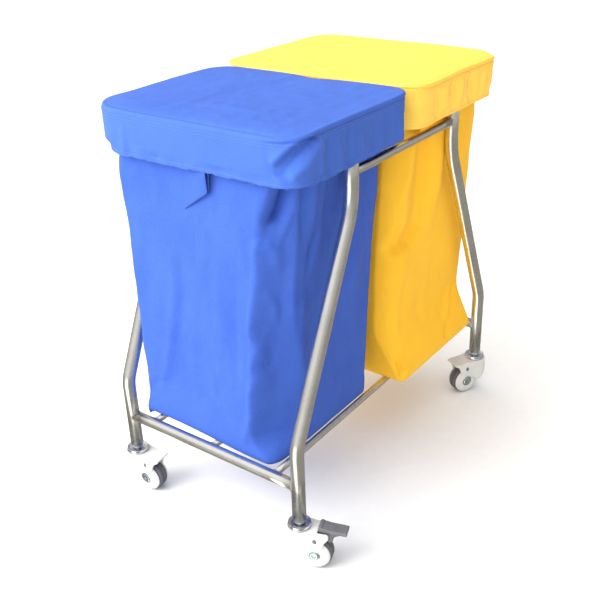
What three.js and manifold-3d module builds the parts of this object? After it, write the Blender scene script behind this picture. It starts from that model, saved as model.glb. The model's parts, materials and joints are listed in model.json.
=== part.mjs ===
// Linen trolley: a bent-tube stainless frame on four swivel castors, with two hanging fabric bags and covers.
// Millimetres. +X to the right, +Y to the rear, +Z up. The origin is on the floor under the frame's middle.
import * as THREE from "three";
import { mergeVertices } from "three/addons/utils/BufferGeometryUtils.js";
import Module from "manifold-3d";

const wasm = await Module();
wasm.setup();

// ---------- Driving dimensions ----------

const GAP = 0.3; // clearance between neighbouring solids

// Frame tubes
const LEG_X = 241; // centre plane of each pair of legs
const FOOT_Y = 417; // lower, upright stretch of a leg
const UPPER_Y = 210; // upper, upright stretch of a leg
const LEG_RADIUS = 15;
const TUBE_WALL = 1.5;
const LEG_BOTTOM_Z = 104.5;
const LOWER_BEND_Z = 292;
const UPPER_BEND_Z = 750;
const LOWER_BEND_RADIUS = 80;
const UPPER_BEND_RADIUS = 190;
const CROSS_RAIL_RADIUS = 12.5;
const BASE_Z = 197; // centre height of the cross rails and the bars
const BAR_RADIUS = 8;
const BAR_X = [-175, 0, 175];
const TOP_RAIL_RADIUS = 9.5;
const TOP_RAIL_Z = 818;
const TUBE_SIDES = 10;
const BEND_STEPS = 4;

// Hoops that hold the bag mouths open
const HOOP_ROD_RADIUS = 6;
const HOOP_Z = 923;
const HOOP_HALF_X = LEG_X;
const HOOP_HALF_Y = 192;
const HOOP_CORNER = 60;
const HOOP_SIDES = 8;

// Bags
const CLOTH = 2.5;
const MOUTH_HALF_X = 225;
const MOUTH_HALF_Y = 183;
const MOUTH_CORNER = 48;
const BAG_BOTTOM_Z = BASE_Z + BAR_RADIUS + GAP;
const CUFF_HALF_X = 251.5;
const CUFF_HALF_Y = 202.5;
const CUFF_CORNER = 68;
const CUFF_BOTTOM_Z = 872;
const CUFF_TOP_Z = 932;
const SLIT_CLEARANCE = 3; // between a leg and the sides of its slit in the cuff
const STRAP_THICKNESS = 1.6; // both plies of the hanging loop, pressed flat
// The hanging loop of the front bag, as x and z: a strap that leans over and ends on the slant.
const LOOP_OUTLINE = [
  [-5, 900],
  [39, 900],
  [29, 801],
  [-21, 752],
];

// Covers
const COVER_HALF_X = 265;
const COVER_HALF_Y = 206;
const COVER_CORNER = 58;
const COVER_TOP_Z = 943;
const COVER_EDGE_Z = 938;
const SKIRT_BOTTOM_Z = 844;
const SKIRT_CLOTH = 3;
const BOARD_THICKNESS = 4;
const BOARD_INSET = 10;
const BOARD_CLEARANCE = 0.6; // between the cuff and the board

// Castors. The wheel turns about an axle TRAIL behind the swivel axis.
const WHEEL_RADIUS = 37.5;
const TRAIL = 36;
const FIT = 0.4; // all round a pin in its hole
const WHEEL_SEGMENTS = 20;
const CUP_SEGMENTS = 16;
const SMALL_SEGMENTS = 12;
const PIN_SEGMENTS = 8;

// Tyre and hub
const TYRE_HALF_WIDTH = 12.5;
const TYRE_SHOULDER = { deep: 4, wide: 3 };
const TYRE_GROOVE = { deep: 2, halfWidth: 1.5 };
const TYRE_BORE_GAP = 0.6;
const HUB_RADIUS = 26;
const HUB_RIM_HALF_WIDTH = 9;
const HUB_BOSS_RADIUS = 14;
const HUB_SIDE_GAP = 1;

// Axle bolt
const AXLE_RADIUS = 4;
const AXLE_BORE_GAP = 1;
const BOLT_HEAD_RADIUS = 9.5;
const BOLT_HEAD_SEAT = 21.3;
const BOLT_HEAD_END = 24.6;

// Fork: the dome over the swivel, two cheeks and the hollow between them
const FORK_TOP_Z = 97;
const DOME_RADIUS = 30;
const DOME_HALF_ANGLE = Math.PI * 0.56;
const CHEEK_HALF_WIDTH = 24;
const CHEEK_START_U = 34;
const CHEEK_CHAMFER = { u: 60, length: 18, depth: 3 };
const SLOT_HALF_WIDTH = 14.2;
const SLOT_RADIUS = 40.5;
const ROOF_THICKNESS = 4.5;
const HOLLOW = { from: 16, pedalFrom: 42.5, to: 90, bottom: 62, halfWidth: 16.5 };
const FORK_UNDERSIDE = [
  [-30, FORK_TOP_Z],
  [-30, 62],
  [-22, 55],
  [-4, 42],
  [6, 38],
  [20, 48],
  [TRAIL, 54],
  [52, 52],
];
const VISOR_NOSE = [
  [57, 70],
  [60, 79],
  [66, 87.5],
  [74, 91],
  [76, 94.5],
  [74, FORK_TOP_Z],
];
const BRAKED_NOSE = [
  [57, 72],
  [61, 79],
  [67, 86],
  [67.5, 94],
  [64, FORK_TOP_Z],
];

// Round end of a cheek, as radius and distance from the wheel's middle plane
const BOLT_RECESS_RADIUS = 15;
const BOLT_RECESS_FLOOR = 21;
const CHEEK_DISC_RADIUS = 34.5;
const CHEEK_DISC_OUTLINE = [
  [0, SLOT_HALF_WIDTH],
  [CHEEK_DISC_RADIUS, SLOT_HALF_WIDTH],
  [33.5, 17.5],
  [29.5, 20.8],
  [BOLT_RECESS_RADIUS, CHEEK_HALF_WIDTH],
  [BOLT_RECESS_RADIUS, BOLT_RECESS_FLOOR],
  [0, BOLT_RECESS_FLOOR],
];

// Pin that ties the cheeks together, just clear of the tyre
const CROSS_PIN = { u: 38, z: 78.7, radius: 3.2, halfLength: CHEEK_HALF_WIDTH + 0.2 };

// Stem, cup and ball race
const STEM_RADIUS = 5.9;
const STEM_HEAD = { radius: 9, bottom: 80, top: 84 };
const STEM_WELL_CLEARANCE = 0.6;
const EXPANDER = { radius: 12.4, bottom: 108, top: 148, tipRadius: 9, tip: 153 };
const CUP_RADIUS = 25;
const CUP_FLANGE = { wide: 1.5, high: 2, blend: 1.5 };
const CUP_RIM = { high: 2, taper: 0.5, wall: 1.5, dish: 3 };
const CUP_FLOOR_THICKNESS = 2;
const CUP_INNER_RADIUS = 20;
const RACE_RADII = [8, 19];

// Brake pedals
const PEDAL_PIVOT = { u: 52, z: 87 };
const PEDAL_PIN_RADIUS = 3;
const PEDAL_PIN_HALF_LENGTH = 20;
const PEDAL_HALF_WIDTH = 14;
const PEDAL_WEB_HALF_WIDTH = 10;
const TREAD_OUTLINE = [
  [43.5, 99],
  [44, 109],
  [50, 110.5],
  [54, 108],
  [60, 107.5],
  [66, 106],
  [104.5, 104],
  [106, 102],
  [105.5, 99.5],
  [84, 98.5],
  [74, 96],
];
const WEB_OUTLINE = [
  [46, 84],
  [46, 100],
  [80, 100],
  [77, 88],
  [74, 73],
  [68, 68.5],
  [60, 75],
  [52, 79.5],
];

// Each castor points its own way: the angle is that of the trail, from +X towards +Y.
const CASTORS = [
  { place: "front_left", x: -LEG_X, y: -FOOT_Y, turn: 5, braked: false },
  { place: "front_right", x: LEG_X, y: -FOOT_Y, turn: 20, braked: true },
  { place: "rear_left", x: -LEG_X, y: FOOT_Y, turn: 200, braked: true },
  { place: "rear_right", x: LEG_X, y: FOOT_Y, turn: -118, braked: false },
];

// Outer sizes of each hanging bag, from its bottom up: left, right, front and rear faces.
const FRONT_BAG_LEVELS = [
  { z: BAG_BOTTOM_Z, left: -205, right: 166, front: -402, rear: -44, corner: 26 },
  { z: 232, left: -203, right: 170, front: -399, rear: -38, corner: 34 },
  { z: 320, left: -203, right: 172, front: -394, rear: -33, corner: 44 },
  { z: 500, left: -207, right: 180, front: -394, rear: -29, corner: 50 },
  { z: 770, left: -213, right: 204, front: -393, rear: -27, corner: 50 },
];
const REAR_BAG_LEVELS = [
  { z: BAG_BOTTOM_Z, left: -205, right: 218, front: 40, rear: 400, corner: 24 },
  { z: 245, left: -201, right: 206, front: 36, rear: 396, corner: 34 },
  { z: 320, left: -198, right: 188, front: 32, rear: 393, corner: 46 },
  { z: 460, left: -204, right: 197, front: 29, rear: 392, corner: 50 },
  { z: 770, left: -213, right: 212, front: 27, rear: 392, corner: 50 },
];

// ---------- Materials ----------

const finish = (color, roughness, metalness) =>
  new THREE.MeshStandardMaterial({ color, roughness, metalness });
const MATERIALS = {
  steel: finish(0xbdb9b0, 0.22, 1),
  zinc: finish(0xc8ccd2, 0.15, 1),
  nylon: finish(0xf1f0ea, 0.45, 0),
  tyre: finish(0x4c4f55, 0.8, 0),
  pedal: finish(0x6f7278, 0.6, 0),
  blueCloth: finish(0x2238b4, 0.85, 0),
  yellowCloth: finish(0xf7b708, 0.8, 0),
  board: finish(0xd8d4c8, 0.7, 0),
};

// ---------- Solids ----------

// Keeps only the positions, joins equal vertices and turns the faces outwards.
function closed(geometry) {
  const bare = geometry.index ? geometry.toNonIndexed() : geometry.clone();
  bare.deleteAttribute("normal");
  bare.deleteAttribute("uv");
  const merged = mergeVertices(bare, 1e-4);
  const position = merged.attributes.position;
  const index = merged.index.array;
  const corner = [new THREE.Vector3(), new THREE.Vector3(), new THREE.Vector3()];
  let volume = 0;
  for (let i = 0; i < index.length; i += 3) {
    corner.forEach((v, k) => v.fromBufferAttribute(position, index[i + k]));
    volume += corner[0].dot(corner[1].cross(corner[2]));
  }
  if (volume < 0) {
    for (let i = 0; i < index.length; i += 3) [index[i + 1], index[i + 2]] = [index[i + 2], index[i + 1]];
  }
  return merged;
}

function toSolid(geometry) {
  const merged = closed(geometry);
  return new wasm.Manifold(
    new wasm.Mesh({
      numProp: 3,
      vertProperties: new Float32Array(merged.attributes.position.array),
      triVerts: new Uint32Array(merged.index.array),
    }),
  );
}

function fromSolid(solid) {
  const mesh = solid.getMesh();
  const geometry = new THREE.BufferGeometry();
  geometry.setAttribute("position", new THREE.BufferAttribute(mesh.vertProperties.slice(), 3));
  geometry.setIndex(new THREE.BufferAttribute(mesh.triVerts.slice(), 1));
  return geometry;
}

const join = (...parts) => fromSolid(parts.map(toSolid).reduce((a, b) => a.add(b)));
const cut = (body, ...tools) =>
  fromSolid(tools.map(toSolid).reduce((a, b) => a.subtract(b), toSolid(body)));
const common = (a, b) => fromSolid(toSolid(a).intersect(toSolid(b)));

// A skin over a row of rings with equal point counts. A looped row closes on itself, and any other row gets
// a flat fan at each end.
function loft(rings, looped) {
  const count = rings[0].length;
  const points = rings.flat();
  const index = [];
  const last = looped ? rings.length : rings.length - 1;
  for (let r = 0; r < last; r++) {
    const low = r * count;
    const high = ((r + 1) % rings.length) * count;
    for (let i = 0; i < count; i++) {
      const j = (i + 1) % count;
      index.push(low + i, low + j, high + j, low + i, high + j, high + i);
    }
  }
  if (!looped) {
    const top = (rings.length - 1) * count;
    for (let i = 1; i < count - 1; i++) {
      index.push(0, i + 1, i);
      index.push(top, top + i, top + i + 1);
    }
  }
  const geometry = new THREE.BufferGeometry().setFromPoints(points);
  geometry.setIndex(index);
  return closed(geometry);
}

// Rings of a round section along a path that lies in one plane.
function sectionRings(path, planeNormal, radius, sides, looped) {
  return path.map((point, i) => {
    const before = looped ? path[(i + path.length - 1) % path.length] : path[Math.max(i - 1, 0)];
    const after = looped ? path[(i + 1) % path.length] : path[Math.min(i + 1, path.length - 1)];
    const tangent = after.clone().sub(before).normalize();
    const across = tangent.clone().cross(planeNormal);
    return Array.from({ length: sides }, (_, k) => {
      const angle = (2 * Math.PI * (k + 0.5)) / sides;
      return point
        .clone()
        .addScaledVector(planeNormal, radius * Math.cos(angle))
        .addScaledVector(across, radius * Math.sin(angle));
    });
  });
}

// An open-ended tube: its outer skin one way and its bore the other way make one closed row of rings.
function tube(path, planeNormal, radius) {
  const outer = sectionRings(path, planeNormal, radius, TUBE_SIDES, false);
  const bore = sectionRings(path, planeNormal, radius - TUBE_WALL, TUBE_SIDES, false);
  return loft([...outer, ...bore.reverse()], true);
}

// The corner between two straight stretches, as points on an arc.
function bend(before, corner, after, radius) {
  const inward = before.clone().sub(corner).normalize();
  const outward = after.clone().sub(corner).normalize();
  const half = inward.angleTo(outward) / 2;
  const reach = radius / Math.tan(half);
  const bisector = inward.clone().add(outward).normalize();
  const middle = corner.clone().addScaledVector(bisector, radius / Math.sin(half));
  const start = corner.clone().addScaledVector(inward, reach).sub(middle);
  const end = corner.clone().addScaledVector(outward, reach).sub(middle);
  const axis = start.clone().cross(end).normalize();
  const sweep = start.angleTo(end);
  return Array.from({ length: BEND_STEPS + 1 }, (_, i) =>
    start.clone().applyAxisAngle(axis, (sweep * i) / BEND_STEPS).add(middle),
  );
}

// A rounded rectangle at one height, anticlockwise from above.
function roundedRing({ left, right, front, rear, corner, z }, steps = 4) {
  const centres = [
    [right - corner, rear - corner],
    [left + corner, rear - corner],
    [left + corner, front + corner],
    [right - corner, front + corner],
  ];
  return centres.flatMap(([x, y], quarter) =>
    Array.from({ length: steps + 1 }, (_, i) => {
      const angle = (Math.PI / 2) * (quarter + i / steps);
      return new THREE.Vector3(x + corner * Math.cos(angle), y + corner * Math.sin(angle), z);
    }),
  );
}

const centredRing = (halfX, halfY, corner, centreY, z) =>
  roundedRing({ left: -halfX, right: halfX, front: centreY - halfY, rear: centreY + halfY, corner, z });

function box(low, high) {
  const size = high.map((value, i) => value - low[i]);
  return new THREE.BoxGeometry(...size).translate(...high.map((value, i) => (value + low[i]) / 2));
}

// Round pieces about the X, Y or Z axis, each given by its outline of radius and distance along the axis.
const turnedAboutY = (outline, segments) =>
  closed(new THREE.LatheGeometry(outline.map(([r, y]) => new THREE.Vector2(r, y)), segments));
const turnedAboutZ = (outline, segments) => turnedAboutY(outline, segments).rotateX(Math.PI / 2);
const rod = (radius, from, to) => [
  [0, from],
  [radius, from],
  [radius, to],
  [0, to],
];

// A flat outline of u and z, given thickness across the castor.
function plate(outline, halfWidth) {
  const shape = new THREE.Shape(outline.map(([u, z]) => new THREE.Vector2(u, z)));
  const solid = new THREE.ExtrudeGeometry(shape, { depth: 2 * halfWidth, bevelEnabled: false });
  return solid.rotateX(Math.PI / 2).translate(0, halfWidth, 0);
}

// ---------- Assembly ----------

const trolley = new THREE.Group();

function add(name, geometry, material, parent = trolley) {
  const mesh = new THREE.Mesh(geometry, material);
  mesh.name = name;
  parent.add(mesh);
  return mesh;
}

const X_AXIS = new THREE.Vector3(1, 0, 0);
const Z_AXIS = new THREE.Vector3(0, 0, 1);
const LEG_TOP_Z = HOOP_Z;

// ---------- Frame ----------

function legPath(x, side) {
  const foot = new THREE.Vector3(x, side * FOOT_Y, LEG_BOTTOM_Z);
  const low = new THREE.Vector3(x, side * FOOT_Y, LOWER_BEND_Z);
  const high = new THREE.Vector3(x, side * UPPER_Y, UPPER_BEND_Z);
  const head = new THREE.Vector3(x, side * UPPER_Y, LEG_TOP_Z);
  return [
    foot,
    ...bend(foot, low, high, LOWER_BEND_RADIUS),
    ...bend(low, high, head, UPPER_BEND_RADIUS),
    head,
  ];
}

function hoopPath(centreY) {
  return centredRing(HOOP_HALF_X, HOOP_HALF_Y, HOOP_CORNER, centreY, HOOP_Z);
}

// A round cutter that stands in for a tube of the given radius and keeps the welding gap round it.
function cope(radius, centre) {
  const length = 4 * radius;
  const grown = (radius + GAP) / Math.cos(Math.PI / SMALL_SEGMENTS);
  const cutter = new THREE.CylinderGeometry(grown, grown, length, SMALL_SEGMENTS);
  return {
    upright: () => cutter.rotateX(Math.PI / 2).translate(...centre),
    level: () => cutter.rotateZ(Math.PI / 2).translate(...centre),
  };
}

function addFrame() {
  for (const [end, side] of [["front", -1], ["rear", 1]]) {
    const hoopLine = hoopPath(side * UPPER_Y);
    const hoop = sectionRings(hoopLine, Z_AXIS, HOOP_ROD_RADIUS, HOOP_SIDES, true);
    const seat = sectionRings(hoopLine, Z_AXIS, HOOP_ROD_RADIUS + 2 * GAP, HOOP_SIDES, true);
    add(`hoop_${end}`, loft(hoop, true), MATERIALS.steel);
    for (const [hand, x] of [["left", -LEG_X], ["right", LEG_X]]) {
      const leg = cut(tube(legPath(x, side), X_AXIS, LEG_RADIUS), loft(seat, true));
      add(`leg_${end}_${hand}`, leg, MATERIALS.steel);
    }
    const reach = LEG_X - LEG_RADIUS / 2;
    const path = [-reach, reach].map((x) => new THREE.Vector3(x, side * FOOT_Y, BASE_Z));
    const legCutters = [-LEG_X, LEG_X].map((x) => cope(LEG_RADIUS, [x, side * FOOT_Y, BASE_Z]).upright());
    add(`base_rail_${end}`, cut(tube(path, Z_AXIS, CROSS_RAIL_RADIUS), ...legCutters), MATERIALS.steel);
  }
  ["left", "middle", "right"].forEach((hand, i) => {
    const reach = FOOT_Y - CROSS_RAIL_RADIUS / 2;
    const path = [-reach, reach].map((y) => new THREE.Vector3(BAR_X[i], y, BASE_Z));
    const railCutters = [-FOOT_Y, FOOT_Y].map((y) =>
      cope(CROSS_RAIL_RADIUS, [BAR_X[i], y, BASE_Z]).level(),
    );
    add(`base_bar_${hand}`, cut(tube(path, Z_AXIS, BAR_RADIUS), ...railCutters), MATERIALS.steel);
  });
  for (const [hand, x] of [["left", -LEG_X], ["right", LEG_X]]) {
    const reach = UPPER_Y - LEG_RADIUS / 2;
    const path = [-reach, reach].map((y) => new THREE.Vector3(x, y, TOP_RAIL_Z));
    const legCutters = [-UPPER_Y, UPPER_Y].map((y) => cope(LEG_RADIUS, [x, y, TOP_RAIL_Z]).upright());
    add(`top_rail_${hand}`, cut(tube(path, Z_AXIS, TOP_RAIL_RADIUS), ...legCutters), MATERIALS.steel);
  }
}

// ---------- Bags and covers ----------

// One skin makes the whole bag: up the outside, over the hoop, down and up the cuff, and down the inside.
function bagShell(levels, centreY) {
  const mouth = (grow, z) =>
    centredRing(MOUTH_HALF_X + grow, MOUTH_HALF_Y + grow, MOUTH_CORNER + grow, centreY, z);
  const cuff = (grow, z) =>
    centredRing(CUFF_HALF_X + grow, CUFF_HALF_Y + grow, CUFF_CORNER + grow, centreY, z);
  const inner = levels.map((level, i) => ({
    z: level.z + (i === 0 ? CLOTH : 0),
    left: level.left + CLOTH,
    right: level.right - CLOTH,
    front: level.front + CLOTH,
    rear: level.rear - CLOTH,
    corner: level.corner - CLOTH,
  }));
  return loft(
    [
      ...levels.map((level) => roundedRing(level)),
      mouth(0, CUFF_BOTTOM_Z),
      mouth(0, CUFF_TOP_Z - CLOTH),
      cuff(-CLOTH, CUFF_TOP_Z - CLOTH),
      cuff(-CLOTH, CUFF_BOTTOM_Z),
      cuff(0, CUFF_BOTTOM_Z),
      cuff(0, CUFF_TOP_Z),
      mouth(-CLOTH, CUFF_TOP_Z),
      mouth(-CLOTH, CUFF_BOTTOM_Z),
      ...inner.map((level) => roundedRing(level)).reverse(),
    ],
    false,
  );
}

// The cuff is slit where a leg stands under the hoop.
function legSlits(centreY) {
  const clear = LEG_RADIUS + SLIT_CLEARANCE;
  const inside = MOUTH_HALF_X + CLOTH;
  const outside = CUFF_HALF_X + CLOTH;
  const low = [centreY - clear, CUFF_BOTTOM_Z - CLOTH];
  const high = [centreY + clear, LEG_TOP_Z + 1];
  return [box([-outside, ...low], [-inside, ...high]), box([inside, ...low], [outside, ...high])];
}

// A strap folded in two, hanging flat on the end face of a bag. side is -1 in front and 1 at the rear.
function hangingLoop(side) {
  const near = UPPER_Y + MOUTH_HALF_Y + GAP;
  const strap = plate(LOOP_OUTLINE, STRAP_THICKNESS / 2).translate(0, -near - STRAP_THICKNESS / 2, 0);
  return side < 0 ? strap : strap.rotateZ(Math.PI);
}

// One skin: across the top, down the skirt outside, up inside, and across under the top.
function coverShell(centreY) {
  const ring = (inset, z) =>
    centredRing(COVER_HALF_X - inset, COVER_HALF_Y - inset, COVER_CORNER - inset, centreY, z);
  const edge = COVER_TOP_Z - COVER_EDGE_Z;
  const under = CUFF_TOP_Z + BOARD_CLEARANCE + BOARD_THICKNESS + GAP;
  return loft(
    [
      ring(2 * edge, COVER_TOP_Z),
      ring(edge / 4, COVER_EDGE_Z),
      ring(0, COVER_EDGE_Z - 2 * edge),
      ring(0, SKIRT_BOTTOM_Z),
      ring(SKIRT_CLOTH, SKIRT_BOTTOM_Z),
      ring(SKIRT_CLOTH, under - edge),
      ring(2 * SKIRT_CLOTH, under),
    ],
    false,
  );
}

function lidBoard(centreY) {
  const low = CUFF_TOP_Z + BOARD_CLEARANCE;
  const halfX = COVER_HALF_X - BOARD_INSET;
  const halfY = COVER_HALF_Y - BOARD_INSET;
  const ring = (z) => centredRing(halfX, halfY, COVER_CORNER - BOARD_INSET, centreY, z);
  return loft([ring(low), ring(low + BOARD_THICKNESS)], false);
}

function addSoftGoods() {
  const ends = [
    { end: "front", side: -1, levels: FRONT_BAG_LEVELS, cloth: MATERIALS.blueCloth },
    { end: "rear", side: 1, levels: REAR_BAG_LEVELS, cloth: MATERIALS.yellowCloth },
  ];
  for (const { end, side, levels, cloth } of ends) {
    const centreY = side * UPPER_Y;
    add(`bag_${end}`, cut(bagShell(levels, centreY), ...legSlits(centreY)), cloth);
    add(`bag_loop_${end}`, hangingLoop(side), cloth);
    add(`cover_${end}`, coverShell(centreY), cloth);
    add(`lid_board_${end}`, lidBoard(centreY), MATERIALS.board);
  }
}

// ---------- Castors ----------
// In a castor's own frame +X, called u, is the way the wheel trails, and the swivel axis is u = 0.

function forkBody(braked) {
  const { u, length, depth } = CHEEK_CHAMFER;
  const side = [...FORK_UNDERSIDE, ...(braked ? BRAKED_NOSE : VISOR_NOSE)];
  const plan = new THREE.Shape();
  plan.absarc(0, 0, DOME_RADIUS, Math.PI - DOME_HALF_ANGLE, Math.PI + DOME_HALF_ANGLE, false);
  plan.lineTo(CHEEK_START_U, -CHEEK_HALF_WIDTH);
  plan.lineTo(u, -CHEEK_HALF_WIDTH);
  plan.lineTo(u + length, depth - CHEEK_HALF_WIDTH);
  plan.lineTo(u + length, CHEEK_HALF_WIDTH - depth);
  plan.lineTo(u, CHEEK_HALF_WIDTH);
  plan.lineTo(CHEEK_START_U, CHEEK_HALF_WIDTH);
  const column = new THREE.ExtrudeGeometry(plan, {
    depth: FORK_TOP_Z + 1,
    bevelEnabled: false,
    curveSegments: 8,
  });
  return common(plate(side, DOME_RADIUS + 1), column);
}

// A cheek's round end over the wheel, domed outside, with the recess for the bolt head.
function cheekDisc(hand) {
  const outline = CHEEK_DISC_OUTLINE.map(([r, y]) => [r, hand * y]);
  return turnedAboutY(outline, WHEEL_SEGMENTS).translate(TRAIL, 0, WHEEL_RADIUS);
}

// A round cutter across the castor, parallel to the axle.
function crossBore(radius, halfLength, { u, z }, segments = SMALL_SEGMENTS) {
  return turnedAboutY(rod(radius, -halfLength, halfLength), segments).translate(u, 0, z);
}

function fork(braked) {
  const { from, pedalFrom, to, bottom, halfWidth } = HOLLOW;
  const through = DOME_RADIUS + 1;
  const axle = { u: TRAIL, z: WHEEL_RADIUS };
  const roof = FORK_TOP_Z - ROOF_THICKNESS;
  const wheelSlot = crossBore(SLOT_RADIUS, SLOT_HALF_WIDTH, axle, WHEEL_SEGMENTS);
  const hollow = box([from, -halfWidth, bottom], [to, halfWidth, roof]);
  const pedalWay = box([pedalFrom, -halfWidth, bottom], [to, halfWidth, braked ? FORK_TOP_Z + 1 : roof]);
  const body = cut(forkBody(braked), wheelSlot, hollow, pedalWay);
  const well = rod(STEM_HEAD.radius + STEM_WELL_CLEARANCE, 0, STEM_HEAD.top + FIT);
  const holes = [
    turnedAboutZ(rod(STEM_RADIUS + FIT, STEM_HEAD.bottom, FORK_TOP_Z + 1), SMALL_SEGMENTS),
    turnedAboutZ(well, SMALL_SEGMENTS),
    crossBore(AXLE_RADIUS + FIT, through, axle),
    crossBore(CROSS_PIN.radius + FIT, through, CROSS_PIN),
  ];
  if (braked) holes.push(crossBore(PEDAL_PIN_RADIUS + FIT, PEDAL_PIN_HALF_LENGTH + 1, PEDAL_PIVOT));
  return cut(join(body, cheekDisc(1), cheekDisc(-1)), ...holes);
}

// The dished zinc cup that the foot of a leg stands in.
function cup() {
  const floor = LEG_BOTTOM_Z - GAP;
  const low = FORK_TOP_Z + GAP;
  const bore = STEM_RADIUS + FIT;
  const rim = floor + CUP_RIM.high;
  const rimRadius = CUP_RADIUS - CUP_RIM.taper;
  const outline = [
    [bore, floor],
    [bore, floor - CUP_FLOOR_THICKNESS],
    [CUP_INNER_RADIUS, floor - CUP_FLOOR_THICKNESS],
    [CUP_INNER_RADIUS, low],
    [CUP_RADIUS + CUP_FLANGE.wide, low],
    [CUP_RADIUS + CUP_FLANGE.wide, low + CUP_FLANGE.high],
    [CUP_RADIUS, low + CUP_FLANGE.high + CUP_FLANGE.blend],
    [rimRadius, rim],
    [rimRadius - CUP_RIM.wall, rim],
    [rimRadius - CUP_RIM.wall - CUP_RIM.dish, floor],
    [bore, floor],
  ];
  return turnedAboutZ(outline, CUP_SEGMENTS);
}

function ballRace() {
  const low = FORK_TOP_Z + GAP;
  const high = LEG_BOTTOM_Z - CUP_FLOOR_THICKNESS - 2 * GAP;
  const [inner, outer] = RACE_RADII;
  const outline = [
    [inner, low],
    [outer, low],
    [outer, high],
    [inner, high],
    [inner, low],
  ];
  return turnedAboutZ(outline, SMALL_SEGMENTS);
}

// The stem: a riveted head under the fork's crown, a shank, and the expander that grips the leg's bore.
function stem() {
  const outline = [
    [0, STEM_HEAD.bottom],
    [STEM_HEAD.radius, STEM_HEAD.bottom],
    [STEM_HEAD.radius, STEM_HEAD.top],
    [STEM_RADIUS, STEM_HEAD.top],
    [STEM_RADIUS, EXPANDER.bottom],
    [EXPANDER.radius, EXPANDER.bottom],
    [EXPANDER.radius, EXPANDER.top],
    [EXPANDER.tipRadius, EXPANDER.tip],
    [0, EXPANDER.tip],
  ];
  return turnedAboutZ(outline, SMALL_SEGMENTS);
}

function axleBolt() {
  const bevel = 1;
  const half = [
    [AXLE_RADIUS, BOLT_HEAD_SEAT],
    [BOLT_HEAD_RADIUS, BOLT_HEAD_SEAT],
    [BOLT_HEAD_RADIUS, BOLT_HEAD_END - bevel],
    [BOLT_HEAD_RADIUS - bevel, BOLT_HEAD_END],
    [0, BOLT_HEAD_END],
  ];
  const other = half.map(([r, y]) => [r, -y]).reverse();
  return turnedAboutY([...other, ...half], SMALL_SEGMENTS);
}

// The pin that ties the two cheeks together over the wheel.
function crossPin() {
  return turnedAboutY(rod(CROSS_PIN.radius, -CROSS_PIN.halfLength, CROSS_PIN.halfLength), PIN_SEGMENTS);
}

function hub() {
  const bore = AXLE_RADIUS + AXLE_BORE_GAP;
  const half = SLOT_HALF_WIDTH - HUB_SIDE_GAP;
  const outline = [
    [bore, -half],
    [HUB_BOSS_RADIUS, -half],
    [HUB_RADIUS, -HUB_RIM_HALF_WIDTH],
    [HUB_RADIUS, HUB_RIM_HALF_WIDTH],
    [HUB_BOSS_RADIUS, half],
    [bore, half],
    [bore, -half],
  ];
  return turnedAboutY(outline, WHEEL_SEGMENTS);
}

function tyre() {
  const bore = HUB_RADIUS + TYRE_BORE_GAP;
  const half = TYRE_HALF_WIDTH;
  const outline = [
    [bore, -half],
    [WHEEL_RADIUS - TYRE_SHOULDER.deep, -half],
    [WHEEL_RADIUS, TYRE_SHOULDER.wide - half],
    [WHEEL_RADIUS, -TYRE_GROOVE.halfWidth],
    [WHEEL_RADIUS - TYRE_GROOVE.deep, 0],
    [WHEEL_RADIUS, TYRE_GROOVE.halfWidth],
    [WHEEL_RADIUS, half - TYRE_SHOULDER.wide],
    [WHEEL_RADIUS - TYRE_SHOULDER.deep, half],
    [bore, half],
    [bore, -half],
  ];
  return turnedAboutY(outline, WHEEL_SEGMENTS);
}

// The pedal: a wide tread plate, and a narrow web with the pivot eye and the shoe that meets the tyre.
function pedal() {
  const body = join(plate(TREAD_OUTLINE, PEDAL_HALF_WIDTH), plate(WEB_OUTLINE, PEDAL_WEB_HALF_WIDTH));
  return cut(body, crossBore(PEDAL_PIN_RADIUS + FIT, PEDAL_HALF_WIDTH + 1, PEDAL_PIVOT));
}

function pedalPin() {
  return turnedAboutY(rod(PEDAL_PIN_RADIUS, -PEDAL_PIN_HALF_LENGTH, PEDAL_PIN_HALF_LENGTH), PIN_SEGMENTS);
}

function addCastor({ place, x, y, turn, braked }) {
  const group = new THREE.Group();
  group.position.set(x, y, 0);
  group.rotation.z = THREE.MathUtils.degToRad(turn);
  trolley.add(group);
  const name = (piece) => `castor_${place}_${piece}`;
  add(name("stem"), stem(), MATERIALS.zinc, group);
  add(name("cup"), cup(), MATERIALS.zinc, group);
  add(name("race"), ballRace(), MATERIALS.zinc, group);
  add(name("fork"), fork(braked), MATERIALS.nylon, group);
  add(name("axle"), axleBolt(), MATERIALS.zinc, group).position.set(TRAIL, 0, WHEEL_RADIUS);
  add(name("cross_pin"), crossPin(), MATERIALS.pedal, group).position.set(CROSS_PIN.u, 0, CROSS_PIN.z);
  add(name("hub"), hub(), MATERIALS.nylon, group).position.set(TRAIL, 0, WHEEL_RADIUS);
  add(name("tyre"), tyre(), MATERIALS.tyre, group).position.set(TRAIL, 0, WHEEL_RADIUS);
  if (!braked) return;
  add(name("pedal_pin"), pedalPin(), MATERIALS.zinc, group).position.set(PEDAL_PIVOT.u, 0, PEDAL_PIVOT.z);
  add(name("pedal"), pedal(), MATERIALS.pedal, group);
}

addFrame();
addSoftGoods();
CASTORS.forEach(addCastor);

export default trolley;
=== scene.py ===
import json
import math

import bmesh
import bpy
import numpy as np
from mathutils import Matrix, Vector
from mathutils.bvhtree import BVHTree


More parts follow.
